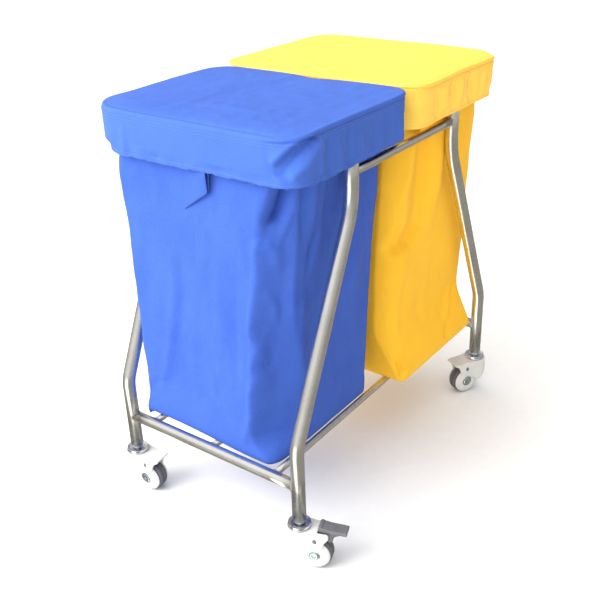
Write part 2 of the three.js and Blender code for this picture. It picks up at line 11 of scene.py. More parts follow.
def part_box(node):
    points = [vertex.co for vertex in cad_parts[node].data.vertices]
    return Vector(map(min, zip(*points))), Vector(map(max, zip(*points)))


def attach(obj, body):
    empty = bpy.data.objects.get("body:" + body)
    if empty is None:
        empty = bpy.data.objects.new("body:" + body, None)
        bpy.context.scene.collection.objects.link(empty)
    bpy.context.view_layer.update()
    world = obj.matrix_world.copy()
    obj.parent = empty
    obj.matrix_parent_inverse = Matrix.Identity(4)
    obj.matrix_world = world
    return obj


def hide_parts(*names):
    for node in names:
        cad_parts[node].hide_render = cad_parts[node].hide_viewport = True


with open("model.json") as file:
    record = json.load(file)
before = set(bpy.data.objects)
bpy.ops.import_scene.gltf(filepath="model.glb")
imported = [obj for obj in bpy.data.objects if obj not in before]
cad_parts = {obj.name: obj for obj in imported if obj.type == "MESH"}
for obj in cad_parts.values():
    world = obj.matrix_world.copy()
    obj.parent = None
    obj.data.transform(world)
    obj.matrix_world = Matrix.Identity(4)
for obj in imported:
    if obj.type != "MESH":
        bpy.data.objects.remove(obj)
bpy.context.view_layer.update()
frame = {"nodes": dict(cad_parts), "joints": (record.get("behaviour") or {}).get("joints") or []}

RECORD_JOINTS = {joint["name"]: joint for joint in frame["joints"]}
CASTOR_PLACES = ("front_left", "front_right", "rear_left", "rear_right")


def new_object(name, data):
    obj = bpy.data.objects.new(name, data)
    bpy.context.scene.collection.objects.link(obj)
    return obj


# ---------- Camera ----------

CAMERA_PLACE = Vector((1.121, -1.5655, 1.3685))
CAMERA_AZIMUTH = math.radians(36.78)
CAMERA_ELEVATION = math.radians(26.99)
CAMERA_ROLL = math.radians(-1.98)
CAMERA_LENS = 52.71


def add_camera():
    data = bpy.data.cameras.new("camera")
    data.lens = CAMERA_LENS
    camera = new_object("camera", data)
    turns = ((CAMERA_AZIMUTH, "Z"), (math.pi / 2 - CAMERA_ELEVATION, "X"), (CAMERA_ROLL, "Z"))
    heading, tilt, roll = (Matrix.Rotation(angle, 4, axis) for angle, axis in turns)
    camera.matrix_world = Matrix.Translation(CAMERA_PLACE) @ heading @ tilt @ roll
    bpy.context.scene.camera = camera


# ---------- Materials ----------


MIX_A, MIX_B, MIX_OUT = 6, 7, 2  # sockets of a colour Mix node


def add_node(tree, kind, inputs=(), **settings):
    """A shader node with its settings, each input given a value or wired to another node's socket."""
    node = tree.nodes.new("ShaderNode" + kind)
    for key, value in settings.items():
        setattr(node, key, value)
    for socket, value in dict(inputs).items():
        if isinstance(value, bpy.types.NodeSocket):
            tree.links.new(value, node.inputs[socket])
        else:
            node.inputs[socket].default_value = value
    return node


class Shader:
    """A material under construction: its nodes are added and wired by short calls."""

    def __init__(self, name, color, roughness, **sockets):
        self.material = bpy.data.materials.new(name)
        self.material.use_nodes = True
        self.tree = self.material.node_tree
        self.surface = self.tree.nodes["Principled BSDF"]
        self.surface.inputs["Base Color"].default_value = (*color, 1)
        self.surface.inputs["Roughness"].default_value = roughness
        for socket, value in sockets.items():
            self.surface.inputs[socket.replace("_", " ")].default_value = value

    def add(self, kind, inputs=(), **settings):
        return add_node(self.tree, kind, inputs, **settings)

    def scaled(self, source, scale=(1, 1, 1)):
        """Texture coordinates stretched by three factors: source is UV or Object."""
        coordinates = self.add("TexCoord").outputs[source]
        mapping = self.add("Mapping", {"Vector": coordinates, "Scale": scale})
        return mapping.outputs[0]

    def noise(self, vector, scale, detail=3.0, roughness=0.5):
        inputs = {"Vector": vector, "Scale": scale, "Detail": detail, "Roughness": roughness}
        return self.add("TexNoise", inputs).outputs["Fac"]

    def grain(self, scale, detail=3.0):
        return self.noise(self.scaled("Object"), scale, detail)

    def spread(self, value, low, high, start=0.3, end=0.7):
        """Maps a texture's usual range of values onto low to high."""
        inputs = {"Value": value, "From Min": start, "From Max": end, "To Min": low, "To Max": high}
        return self.add("MapRange", inputs).outputs[0]

    def maths(self, operation, a, b):
        return self.add("Math", {0: a, 1: b}, operation=operation).outputs[0]

    def to_surface(self, socket, output):
        self.tree.links.new(output, self.surface.inputs[socket])
        return output

    def tint(self, factor, dark, light):
        """Colours the surface between dark and light."""
        inputs = {"Factor": factor, MIX_A: (*dark, 1), MIX_B: (*light, 1)}
        self.to_surface("Base Color", self.add("Mix", inputs, data_type="RGBA").outputs[MIX_OUT])

    def rough(self, value):
        self.to_surface("Roughness", value)

    def bump(self, height, distance, strength=1.0, **below):
        inputs = {"Height": height, "Distance": distance, "Strength": strength, **below}
        return self.to_surface("Normal", self.add("Bump", inputs).outputs[0])


THREAD = 0.0011  # one warp thread and the gap beside it
WAVE_PERIOD = 0.314  # of a wave texture of scale 1


def cloth_material(name, dark, light):
    """Coated woven polyester: a fine plain weave, soft crumples, and a slight change of tone."""
    shader = Shader(name, light, 0.78, Sheen_Weight=0.03, Sheen_Roughness=0.4, Specular_IOR_Level=0.14)
    flat = shader.scaled("UV")
    wave = {"Vector": flat, "Scale": WAVE_PERIOD / THREAD,
            "Distortion": 0.6, "Detail": 1.0, "Detail Scale": 2.0}
    warp, weft = (shader.add("TexWave", wave, bands_direction=way).outputs["Fac"] for way in "XY")
    weave = shader.maths("MULTIPLY", warp, weft)
    crumple = shader.noise(shader.scaled("UV", (1, 0.7, 1)), 21)
    patches = shader.noise(flat, 5.5, 4.0, 0.6)
    mottle = shader.noise(flat, 240, 3.0, 0.65)
    shader.tint(shader.spread(shader.maths("ADD", patches, mottle), 0, 1, 0.6, 1.4), dark, light)
    shader.rough(shader.spread(crumple, 0.74, 0.86))
    soft = shader.bump(crumple, 0.0026, 0.7)
    shader.bump(weave, 0.00012, 0.5, Normal=soft)
    return shader.material


def thread_material(name, color):
    """Twisted sewing thread."""
    shader = Shader(name, color, 0.6, Sheen_Weight=0.3)
    wave = {"Vector": shader.scaled("Object"), "Scale": 260.0}
    twist = shader.add("TexWave", wave, bands_direction="DIAGONAL").outputs["Fac"]
    shader.tint(shader.spread(twist, 0, 1, 0, 1), [0.75 * c for c in color], color)
    shader.bump(twist, 0.0002)
    return shader.material


def steel_material():
    """Bright brushed stainless: hair-fine lines along the tube, cloudy handling marks."""
    shader = Shader("brushed_steel", (0.74, 0.72, 0.67), 0.26, Metallic=1.0)
    lines = shader.noise(shader.scaled("UV", (900, 14, 1)), 1.0, 2.0)
    clouds = shader.grain(14, 4.0)
    shader.tint(shader.spread(clouds, 0, 1), (0.69, 0.665, 0.61), (0.78, 0.765, 0.72))
    shader.rough(shader.spread(shader.maths("ADD", lines, clouds), 0.20, 0.34, 0.7, 1.3))
    shader.bump(lines, 0.00006, 0.5)
    return shader.material


def clouded(name, dark, light, roughness, swing, scale, bump, fine=None, metallic=0.0):
    """Plate, weld metal, nylon or rubber: clouds of tone, and of roughness where it has a swing, over a
    grain that is the clouds' own or a finer one."""
    shader = Shader(name, light, roughness, Metallic=metallic)
    clouds = shader.grain(scale)
    shader.tint(shader.spread(clouds, 0, 1), dark, light)
    if swing:
        shader.rough(shader.spread(clouds, roughness - swing, roughness + swing))
    shader.bump(shader.grain(fine, 2.0) if fine else clouds, *bump)
    return shader.material


MOULDED = (0.06, 30, (0.0001, 0.35))
PLATED = (0.23, 0.07, 120, (0.00005, 0.4), None, 1.0)
STEEL = steel_material()
WELD = clouded("weld_bead", (0.45, 0.41, 0.36), (0.70, 0.67, 0.60), 0.38, 0, 300, (0.0003, 0.6), None, 1.0)
ZINC = clouded("zinc_plate", (0.62, 0.65, 0.69), (0.80, 0.82, 0.85), *PLATED)
BOLT = clouded("blue_zinc_plate", (0.38, 0.44, 0.46), (0.54, 0.60, 0.62), *PLATED)
NYLON = clouded("white_nylon", (0.62, 0.61, 0.57), (0.68, 0.67, 0.63), 0.42, *MOULDED, 900)
TYRE = clouded("grey_tyre", (0.085, 0.09, 0.105), (0.12, 0.125, 0.14), 0.72, *MOULDED, 500)
PEDAL = clouded("grey_pedal", (0.105, 0.108, 0.115), (0.14, 0.143, 0.15), 0.5, *MOULDED, 900)
BOARD = clouded("board", (0.66, 0.64, 0.58), (0.76, 0.74, 0.69), 0.6, *MOULDED, 200)
BLUE = cloth_material("blue_cloth", (0.036, 0.086, 0.375), (0.052, 0.120, 0.480))
YELLOW = cloth_material("yellow_cloth", (0.90, 0.47, 0.025), (0.97, 0.535, 0.038))
BLUE_THREAD = thread_material("blue_thread", (0.10, 0.20, 0.66))
BLUE_COVER = cloth_material("blue_cover_cloth", (0.044, 0.104, 0.400), (0.060, 0.136, 0.500))
YELLOW_COVER = cloth_material("yellow_cover_cloth", (0.92, 0.555, 0.078), (0.98, 0.625, 0.104))
YELLOW_THREAD = thread_material("yellow_thread", (0.80, 0.48, 0.03))


# ---------- Meshes ----------


def mm(*numbers):
    """Pairs of metres from a run of millimetres."""
    return [(a / 1000, b / 1000) for a, b in zip(numbers[::2], numbers[1::2])]


def piece(name, mesh, body, slot, material, *replaced):
    """A shown piece that rides on a body and takes the place of CAD nodes."""
    obj = new_object(name, mesh)
    mesh.materials.append(material)
    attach(obj, body)
    if replaced:
        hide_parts(*replaced)
    return obj


def closed(rows):
    return np.concatenate([rows, rows[:1]])


def unit(vectors):
    return vectors / np.linalg.norm(vectors, axis=-1, keepdims=True)


def smooth(mesh):
    mesh.shade_smooth()
    return mesh


def grid_mesh(name, points, round_it, uv=None, skip=None):
    """A quad mesh over an array of rows by columns of points. round_it closes each row on itself."""
    rows, columns = points.shape[:2]
    index = np.arange(rows * columns).reshape(rows, columns)
    right = np.roll(index, -1, axis=1)
    last = columns if round_it else columns - 1
    quads = np.stack([index[:-1, :last], right[:-1, :last], right[1:, :last], index[1:, :last]], axis=-1)
    if skip is not None:
        quads = quads[~skip[:, :last]]
    quads = quads.reshape(-1, 4)
    mesh = bpy.data.meshes.new(name)
    mesh.from_pydata(points.reshape(-1, 3).tolist(), [], quads.tolist())
    if uv is not None:
        u, v = uv
        wide = np.concatenate([u, u[:, :1] + (u[:, -1:] - u[:, :1]) * columns / (columns - 1)], axis=1)
        tall = np.concatenate([v, v[:, :1]], axis=1)
        row, column = np.divmod(quads[:, 0], columns)
        corners = [(row, column), (row, column + 1), (row + 1, column + 1), (row + 1, column)]
        place = np.stack([np.stack([wide[r, c], tall[r, c]], -1) for r, c in corners], axis=1)
        mesh.uv_layers.new(name="UVMap").data.foreach_set("uv", place.reshape(-1).astype(np.float32))
    return mesh


def cleaned(mesh, merge=1e-6):
    """Merges doubled points, drops loose ones and turns the faces outwards."""
    work = bmesh.new()
    work.from_mesh(mesh)
    bmesh.ops.remove_doubles(work, verts=work.verts, dist=merge)
    bmesh.ops.delete(work, geom=[v for v in work.verts if not v.link_faces], context="VERTS")
    bmesh.ops.recalc_face_normals(work, faces=work.faces)
    work.to_mesh(mesh)
    work.free()
    return mesh


def with_modifiers(mesh, *modifiers):
    """The mesh after these modifiers, each given as (type, settings)."""
    holder = new_object("holder", mesh)
    for kind, settings in modifiers:
        modifier = holder.modifiers.new(kind.lower(), kind)
        for key, value in settings.items():
            setattr(modifier, key, value)
    bpy.context.view_layer.update()
    result = bpy.data.meshes.new_from_object(holder.evaluated_get(bpy.context.evaluated_depsgraph_get()))
    bpy.data.objects.remove(holder)
    return result


def softened(mesh, voxel, passes):
    """The mesh rebuilt from cubes of this size and smoothed, which rounds its edges and joins its parts."""
    remesh = ("REMESH", {"mode": "VOXEL", "voxel_size": voxel, "use_smooth_shade": True})
    return smooth(with_modifiers(mesh, remesh, ("SMOOTH", {"factor": 0.5, "iterations": passes})))


def joined(*meshes):
    work = bmesh.new()
    for mesh in meshes:
        work.from_mesh(mesh)
    result = bpy.data.meshes.new("joined")
    work.to_mesh(result)
    work.free()
    return result


def moved(mesh, matrix):
    copy = mesh.copy()
    copy.transform(matrix)
    return copy


def turned(outline, segments=64):
    """A solid of revolution about Z from an outline of (radius, height), closed where it meets the axis."""
    angles = np.linspace(0, 2 * math.pi, segments, endpoint=False)
    points = np.array([[(r * math.cos(a), r * math.sin(a), z) for a in angles] for r, z in outline])
    around = np.tile(angles / (2 * math.pi), (len(outline), 1))
    along = np.tile(np.linspace(0, 1, len(outline))[:, None], (1, segments))
    return smooth(cleaned(grid_mesh("turned", points, True, (around, along)), 1e-7))


def rounded(outline, radius, steps=4):
    """The outline of (radius, height) with its inner corners rounded. Its two ends stay."""
    points = [Vector(p) for p in outline]
    result = [points[0]]
    for before, corner, after in zip(points, points[1:], points[2:]):
        into, out = corner - before, after - corner
        cut = min(radius, into.length / 2.2, out.length / 2.2)
        start, end = corner - into.normalized() * cut, corner + out.normalized() * cut
        result += [start.lerp(corner, t).lerp(corner.lerp(end, t), t) for t in np.arange(steps + 1) / steps]
    return [tuple(p) for p in (*result, points[-1])]


def swept(path, normal, radius, sides=32, looped=False, ripple=1.0):
    """A round bar along a path in the plane across normal. ripple varies the radius along the path."""
    path = np.array(path, float)
    ways = np.roll(path, -1, axis=0) - np.roll(path, 1, axis=0) if looped else np.gradient(path, axis=0)
    tangent = unit(ways)
    across = unit(np.cross(tangent, np.broadcast_to(np.array(normal, float), path.shape)))
    angle = np.linspace(0, 2 * math.pi, sides, endpoint=False)
    side, out = across[:, None], np.cross(across, tangent)[:, None]
    ring = out * np.cos(angle)[:, None] + side * np.sin(angle)[:, None]
    points = path[:, None] + ring * (radius * ripple * np.ones(len(path)))[:, None, None]
    steps = np.linalg.norm(np.diff(path, axis=0, prepend=path[:1]), axis=1).cumsum()
    u = np.tile(angle / (2 * math.pi), (len(path), 1))
    v = np.tile(steps[:, None], (1, sides))
    if looped:
        points, u, v = closed(points), closed(u), closed(v)
    else:
        first, last = (np.repeat(path[i][None, None], sides, axis=1) for i in (0, -1))
        points = np.concatenate([first, points, last])
        u = np.concatenate([u[:1], u, u[:1]])
        v = np.concatenate([v[:1], v, v[-1:]])
    return smooth(cleaned(grid_mesh("swept", points, True, (u, v)), 1e-7))


def arc_corner(before, corner, after, radius, steps):
    """The points of a bend of this radius between two straight stretches."""
    before, corner, after = Vector(before), Vector(corner), Vector(after)
    inward, outward = (before - corner).normalized(), (after - corner).normalized()
    half = inward.angle(outward) / 2
    reach = radius / math.tan(half)
    middle = corner + (inward + outward).normalized() * (radius / math.sin(half))
    start, end = corner + inward * reach - middle, corner + outward * reach - middle
    axis, sweep = start.cross(end).normalized(), start.angle(end)
    return [middle + Matrix.Rotation(sweep * i / steps, 3, axis) @ start for i in range(steps + 1)]


def rounded_rectangle(half_x, half_y, corner, count):
    """Points evenly spaced round a rounded rectangle from the middle of its -Y side towards +X."""
    bend = corner * math.pi / 2
    total = 4 * (half_x + half_y - 2 * corner + bend)
    points = []
    for s in np.arange(count) * total / count + half_x - corner:
        # near is half of this side's straight stretch.
        quarter, near, far = 0, half_x - corner, half_y - corner
        while s > 2 * near + bend:
            s -= 2 * near + bend
            quarter, near, far = quarter + 1, far, near
        turn = max(0, s - 2 * near) / corner
        place = complex(min(s, 2 * near) - near + corner * math.sin(turn), -far - corner * math.cos(turn))
        place *= 1j**quarter
        points.append((place.real, place.imag))
    return points


# ---------- Frame tubes ----------

LEG_RADIUS = 0.015
LEG_HEAD_Y = 0.21  # how far the head of each leg is from the middle of the trolley
CROSS_RAIL_RADIUS = 0.0125
BAR_RADIUS = 0.008
TOP_RAIL_RADIUS = 0.0095
HOOP_ROD_RADIUS = 0.006
HOOP_CORNER = 0.060
LOWER_BEND = (0.292, 0.080)  # height and radius
UPPER_BEND = (0.750, 0.190)
WELD_RADIUS = 0.0019
WELD_POINTS = 48
FOOT_TRIM = 0.0095  # how much of the castor stem shows between the leg and the cup
ENDS = (("front", -1), ("rear", 1))


def middle(node):
    return sum(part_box(node), Vector()) / 2


def half_size(node):
    low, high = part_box(node)
    return (high - low) / 2


def steel_tube(name, node, *sweep):
    piece(f"{name}_{node}", swept(*sweep), "frame", "steel", STEEL, node)


def straight_tube(node, axis, stations, radius, sides=32):
    low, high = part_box(node)
    start, end = middle(node), middle(node)
    start[axis], end[axis] = low[axis], high[axis]
    steel_tube("tube", node, np.linspace(start, end, stations), (0, 0, 1), radius, sides)


def leg_path(node, side):
    """A leg's centre line, from its foot up. side is -1 in front and 1 at the rear."""
    low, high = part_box(node)
    x = middle(node).x
    foot_y = side * (max(abs(low.y), abs(high.y)) - LEG_RADIUS)
    head_y = side * (min(abs(low.y), abs(high.y)) + LEG_RADIUS)
    foot, head = (x, foot_y, low.z), (x, head_y, high.z)
    lower, upper = (x, foot_y, LOWER_BEND[0]), (x, head_y, UPPER_BEND[0])
    return [
        Vector(foot) + Vector((0, 0, FOOT_TRIM)),
        *arc_corner(foot, lower, upper, LOWER_BEND[1], 10),
        *arc_corner(lower, upper, head, UPPER_BEND[1], 16),
        Vector(head),
    ]


def weld_ring(centre, axis, radius, tube_radius, tube_axis):
    """The bead where a bar of this radius, running along axis, meets a round tube of tube_radius."""
    axis, tube_axis = Vector(axis), Vector(tube_axis)
    side = axis.cross(tube_axis)
    loop = []
    for angle in np.arange(WELD_POINTS) * 2 * math.pi / WELD_POINTS:
        across = radius * math.sin(angle)
        sunk = tube_radius - math.sqrt(tube_radius**2 - across**2)
        loop.append(Vector(centre) + tube_axis * radius * math.cos(angle) + side * across - axis * sunk)
    wave = 1 + 0.16 * np.sin(np.arange(WELD_POINTS) * math.pi / 1.5 + radius * 1000)
    return swept(loop, axis, WELD_RADIUS, 10, True, wave)


def add_frame():
    beads = []
    for end, side in ENDS:
        rail, hoop = f"base_rail_{end}", f"hoop_{end}"
        foot_y, rail_z, hoop_z = middle(rail).y, middle(rail).z, middle(hoop).z
        for hand, way in (("left", 1), ("right", -1)):
            node = f"leg_{end}_{hand}"
            x = middle(node).x
            steel_tube("tube", node, leg_path(node, side), (1, 0, 0), LEG_RADIUS)
            foot, head = (x + way * LEG_RADIUS, foot_y, rail_z), (x, side * LEG_HEAD_Y, hoop_z)
            beads.append(weld_ring(foot, (way, 0, 0), CROSS_RAIL_RADIUS, LEG_RADIUS, (0, 0, 1)))
            beads.append(weld_ring(head, (0, 0, 1), LEG_RADIUS - 0.002, LEG_RADIUS, (0, 1, 0)))
        straight_tube(rail, 0, 9, CROSS_RAIL_RADIUS)
        for hand in ("left", "middle", "right"):
            bar = middle(f"base_bar_{hand}")
            centre = (bar.x, foot_y - side * CROSS_RAIL_RADIUS, bar.z)
            beads.append(weld_ring(centre, (0, -side, 0), BAR_RADIUS, CROSS_RAIL_RADIUS, (1, 0, 0)))
        half = half_size(hoop)
        outline = rounded_rectangle(half.x - HOOP_ROD_RADIUS, half.y - HOOP_ROD_RADIUS, HOOP_CORNER, 200)
        path = [(x, y + middle(hoop).y, hoop_z) for x, y in outline]
        steel_tube("rod", hoop, path, (0, 0, 1), HOOP_ROD_RADIUS, 20, True)
    for hand in ("left", "middle", "right"):
        straight_tube(f"base_bar_{hand}", 1, 13, BAR_RADIUS, 24)
    for hand in ("left", "right"):
        node = f"top_rail_{hand}"
        straight_tube(node, 1, 9, TOP_RAIL_RADIUS, 28)
        for _, side in ENDS:
            centre = (middle(node).x, side * (LEG_HEAD_Y - LEG_RADIUS), middle(node).z)
            beads.append(weld_ring(centre, (0, -side, 0), TOP_RAIL_RADIUS, LEG_RADIUS, (0, 0, 1)))
    piece("weld_beads", smooth(joined(*beads)), "frame", "steel", WELD)


# ---------- Castors ----------
# In a castor's own frame +X is the way it trails and the origin is on the floor under the swivel.

ACROSS = Matrix.Rotation(math.pi / 2, 4, "X")
TO_AXLE = Matrix.Translation((0.036, 0, 0.0375)) @ ACROSS  # by the trail and the wheel's radius
PIN_PLACE = (0.038, 0, 0.0765)


def castor_frame(place):
    """From a castor's own frame to the trolley's."""
    swivel = Vector(RECORD_JOINTS[f"swivel_{place}"]["pos_m"])
    axle = Vector(RECORD_JOINTS[f"roll_{place}"]["pos_m"])
    turn = math.atan2(axle.y - swivel.y, axle.x - swivel.x)
    return Matrix.Translation((swivel.x, swivel.y, 0)) @ Matrix.Rotation(turn, 4, "Z")


def local_copy(node, place):
    mesh = frame["nodes"][node].data.copy()
    mesh.materials.clear()
    mesh.transform(castor_frame(place).inverted())
    return mesh


# Radii and heights of the domed outside of a cheek's round end, from the axle out to its rim and back
# to the bolt.
CHEEK = mm(0, 15, 34.6, 15, 34.2, 17.6, 30, 21.2, 22.5, 23.4, 16, 24.2, 14.8, 21.2, 0, 21)


def fork_mesh(place):
    """The moulded fork: its CAD solid with round cheek ends, remeshed and softened."""
    cheek = turned(rounded(CHEEK, 0.0016), 96)
    cheeks = [cleaned(moved(cheek, TO_AXLE @ Matrix.Scale(way, 4, (0, 0, 1)))) for way in (1, -1)]
    return softened(joined(local_copy(f"castor_{place}_fork", place), *cheeks), 0.0009, 7)


# The grip ribs across the pedal's tread, which slopes down from its inner edge.
RIB_PLACES = [0.076 + 0.005 * i for i in range(6)]
RIB_HALF = 0.0125
RIB_RADIUS = 0.0011
TREAD_X, TREAD_Z, TREAD_SLOPE = 0.066, 0.1055, 0.052
# Half widths and outlines of the solids that flare the pedal from its web out to the tread.
GUSSETS = [
    (0.0095, mm(66, 83, 76, 84, 83, 88.5, 92, 92.5, 105, 94.5, 105, 102.5, 66, 104.5)),
    (0.0132, mm(68, 96.5, 92, 95.5, 105, 95, 105.5, 102.5, 68, 105)),
]


def slab(outline, half):
    """A prism across Y, half thick each way, of an outline of (x, z)."""
    count = len(outline)
    mesh = bpy.data.meshes.new("slab")
    points = [(x, y, z) for y in (-half, half) for x, z in outline]
    sides = [(i, (i + 1) % count, count + (i + 1) % count, count + i) for i in range(count)]
    mesh.from_pydata(points, [], [tuple(range(count)), tuple(range(2 * count - 1, count - 1, -1)), *sides])
    return mesh


def pedal_mesh(place):
    """The brake pedal: its CAD solid with grip ribs on the tread, remeshed and softened."""
    parts = [local_copy(f"castor_{place}_pedal", place)]
    for x in RIB_PLACES:
        z = TREAD_Z - (x - TREAD_X) * TREAD_SLOPE
        parts.append(cleaned(swept([(x, RIB_HALF * k, z) for k in (-1, 0, 1)], (0, 0, 1), RIB_RADIUS, 10)))
    parts += [cleaned(slab(outline, half)) for half, outline in GUSSETS]
    return softened(joined(*parts), 0.0006, 5)


def cup_mesh():
    return turned(rounded(mm(20, 97.3, 26.5, 97.3, 26.5, 99.3, 25, 100.8, 24.7, 106.4, 23.2, 106.4,
                             19.5, 104.2, 6.3, 104.2, 6.3, 102.2, 20, 102.2, 20, 97.3), 0.0008), 96)


def axle_mesh():
    """The axle bolt and its nut, each a washer under a domed head with a shallow recess in the middle."""
    half = rounded(mm(4, 21.3, 14.2, 21.3, 14.2, 22.2, 10.6, 22.6, 9.8, 24, 8.4, 24.8,
                      4.8, 25, 4.2, 23.2, 0, 23), 0.0005)
    return turned([(r, -z) for r, z in reversed(half)] + half, 48)


def tyre_mesh():
    return turned(rounded(mm(26.6, -12.5, 33.5, -12.5, 37.5, -9, 37.5, -1.7, 35.2, -1, 35.2, 1,
                             37.5, 1.7, 37.5, 9, 33.5, 12.5, 26.6, 12.5, 26.6, -12.5), 0.0014), 120)


def rivet_mesh():
    """The two domed heads of the pin that crosses the fork. Its middle is hidden in the cheeks."""
    head = turned(mm(0, 18, 4.5, 18, 4.5, 24.3, 3.375, 25.1, 0, 25.2), 32)
    return smooth(joined(head, moved(head, Matrix.Rotation(math.pi, 4, "X"))))


def add_castors():
    cup, axle, tyre, rivets = cup_mesh(), axle_mesh(), tyre_mesh(), rivet_mesh()
    forks = {False: fork_mesh("front_left"), True: fork_mesh("front_right")}
    pedal = pedal_mesh("front_right")
    for place in CASTOR_PLACES:
        to_world = castor_frame(place)
        braked = f"brake_{place}" in RECORD_JOINTS
        at_axle = to_world @ TO_AXLE
        at_pin = to_world @ Matrix.Translation(PIN_PLACE) @ ACROSS
        body = f"castor_{place}"
        parts = [
            ("race_cup", "cup", cup, to_world, "frame", "zinc", ZINC),
            ("fork", "fork", forks[braked], to_world, body, "nylon", NYLON),
            ("axle_bolt", "axle", axle, at_axle, body, "zinc", BOLT),
            ("cross_pin", "cross_pin", rivets, at_pin, body, "pedal_grey", PEDAL),
            ("tyre", "tyre", tyre, at_axle, f"wheel_{place}", "tyre", TYRE),
        ]
        if braked:
            parts.append(("pedal", "pedal", pedal, to_world, f"pedal_{place}", "pedal_grey", PEDAL))
        for name, node, mesh, matrix, rides, slot, material in parts:
            piece(f"{place}_{name}", moved(mesh, matrix), rides, slot, material, f"castor_{place}_{node}")


# ---------- Cloth ----------

CLOTH_SLOTS = {"front": "blue_cloth", "rear": "yellow_cloth"}


def noise_field(width, height, cell, seed):
    """A smooth random field from -1 to 1, repeating across its width, as a function of two lengths."""
    columns, rows = max(2, round(width / cell)), max(2, round(height / cell)) + 3
    values = np.random.RandomState(seed).uniform(-1, 1, (rows, columns))

    def at(u, v):
        a, b = u / width * columns, np.clip(v / cell, 0, rows - 2.001)
        i, j = np.floor(a).astype(int), np.floor(b).astype(int)
        fa, fb = a - i, b - j
        fa, fb = fa * fa * (3 - 2 * fa), fb * fb * (3 - 2 * fb)
        low = values[j, i % columns] * (1 - fa) + values[j, (i + 1) % columns] * fa
        high = values[j + 1, i % columns] * (1 - fa) + values[j + 1, (i + 1) % columns] * fa
        return low * (1 - fb) + high * fb

    return at


def ease(x, low, high):
    t = np.clip((x - low) / (high - low), 0, 1)
    return t * t * (3 - 2 * t)


CREASE_RADIUS = 0.0030
LEAN_REACH = 0.004


def fold(s, z, girth, points, width, depth, ends, lean):
    """A crease along a line of (distance round, height) points. A positive depth stands out from the
    cloth. The crease tapers over the given share of its length at each end. A lean makes one flank longer
    than the other."""
    s0 = points[0][0]
    ds = (s - s0 + girth / 2) % girth - girth / 2
    line = [(p[0] - s0, p[1]) for p in points]
    lengths = [math.dist(a, b) for a, b in zip(line, line[1:])]
    # The distance from the line, the share along it, and the side.
    found = [np.full(s.shape, 1e9), 0 * s, 0 * s]
    passed = 0.0
    for a, b, length in zip(line, line[1:], lengths):
        run_s, run_z = (b[0] - a[0]) / length, (b[1] - a[1]) / length
        t = np.clip((ds - a[0]) * run_s + (z - a[1]) * run_z, 0, length)
        off_s, off_z = ds - a[0] - t * run_s, z - a[1] - t * run_z
        here = (np.hypot(off_s, off_z), (passed + t) / sum(lengths), off_s * run_z - off_z * run_s)
        closer = here[0] < found[0]
        found = [np.where(closer, new, old) for new, old in zip(here, found)]
        passed += length
    nearest, along, side = found
    fade = ease(along, 0, ends[0] + 1e-6) * (1 - ease(along, 1 - ends[1] - 1e-6, 1))
    reach = width * (0.3 + 0.7 * fade) * (1 + lean * np.tanh(side / LEAN_REACH))
    return depth * fade * np.exp(-(((np.hypot(nearest, CREASE_RADIUS) - CREASE_RADIUS) / reach) ** 1.45))


def folds(*rows):
    """The arguments of fold() from rows of width and depth in mm, the two tapers and the lean in
    hundredths, and the points of the line in mm. The distance round starts in the middle of the front
    and runs towards +X."""
    return [(mm(*line), width / 1000, depth / 1000, (start / 100, end / 100), lean / 100)
            for width, depth, start, end, lean, *line in rows]


def drawn_fold(draw, line, widths, depths, ends):
    return line, draw.uniform(*widths), draw.uniform(*depths) * draw.choice([-1, 1]), ends, 0


def add_folds(table, ring, s, z):
    return sum(fold(s, z, ring.girth, *one) for one in table)


def creased(noise, s, level):
    """Noise made of flat panes that meet in creases."""
    return 0.42 - np.sqrt(noise(s, level) ** 2 + 0.012)


def solid_cloth(mesh, thickness, offset=-1.0):
    """The sheet given its thickness, inwards, and closed round its edges."""
    return smooth(with_modifiers(mesh, ("SOLIDIFY", {"thickness": thickness, "offset": offset})))


def headings(degrees):
    angle = np.radians(degrees)
    return np.stack([np.cos(angle), np.sin(angle)], -1)


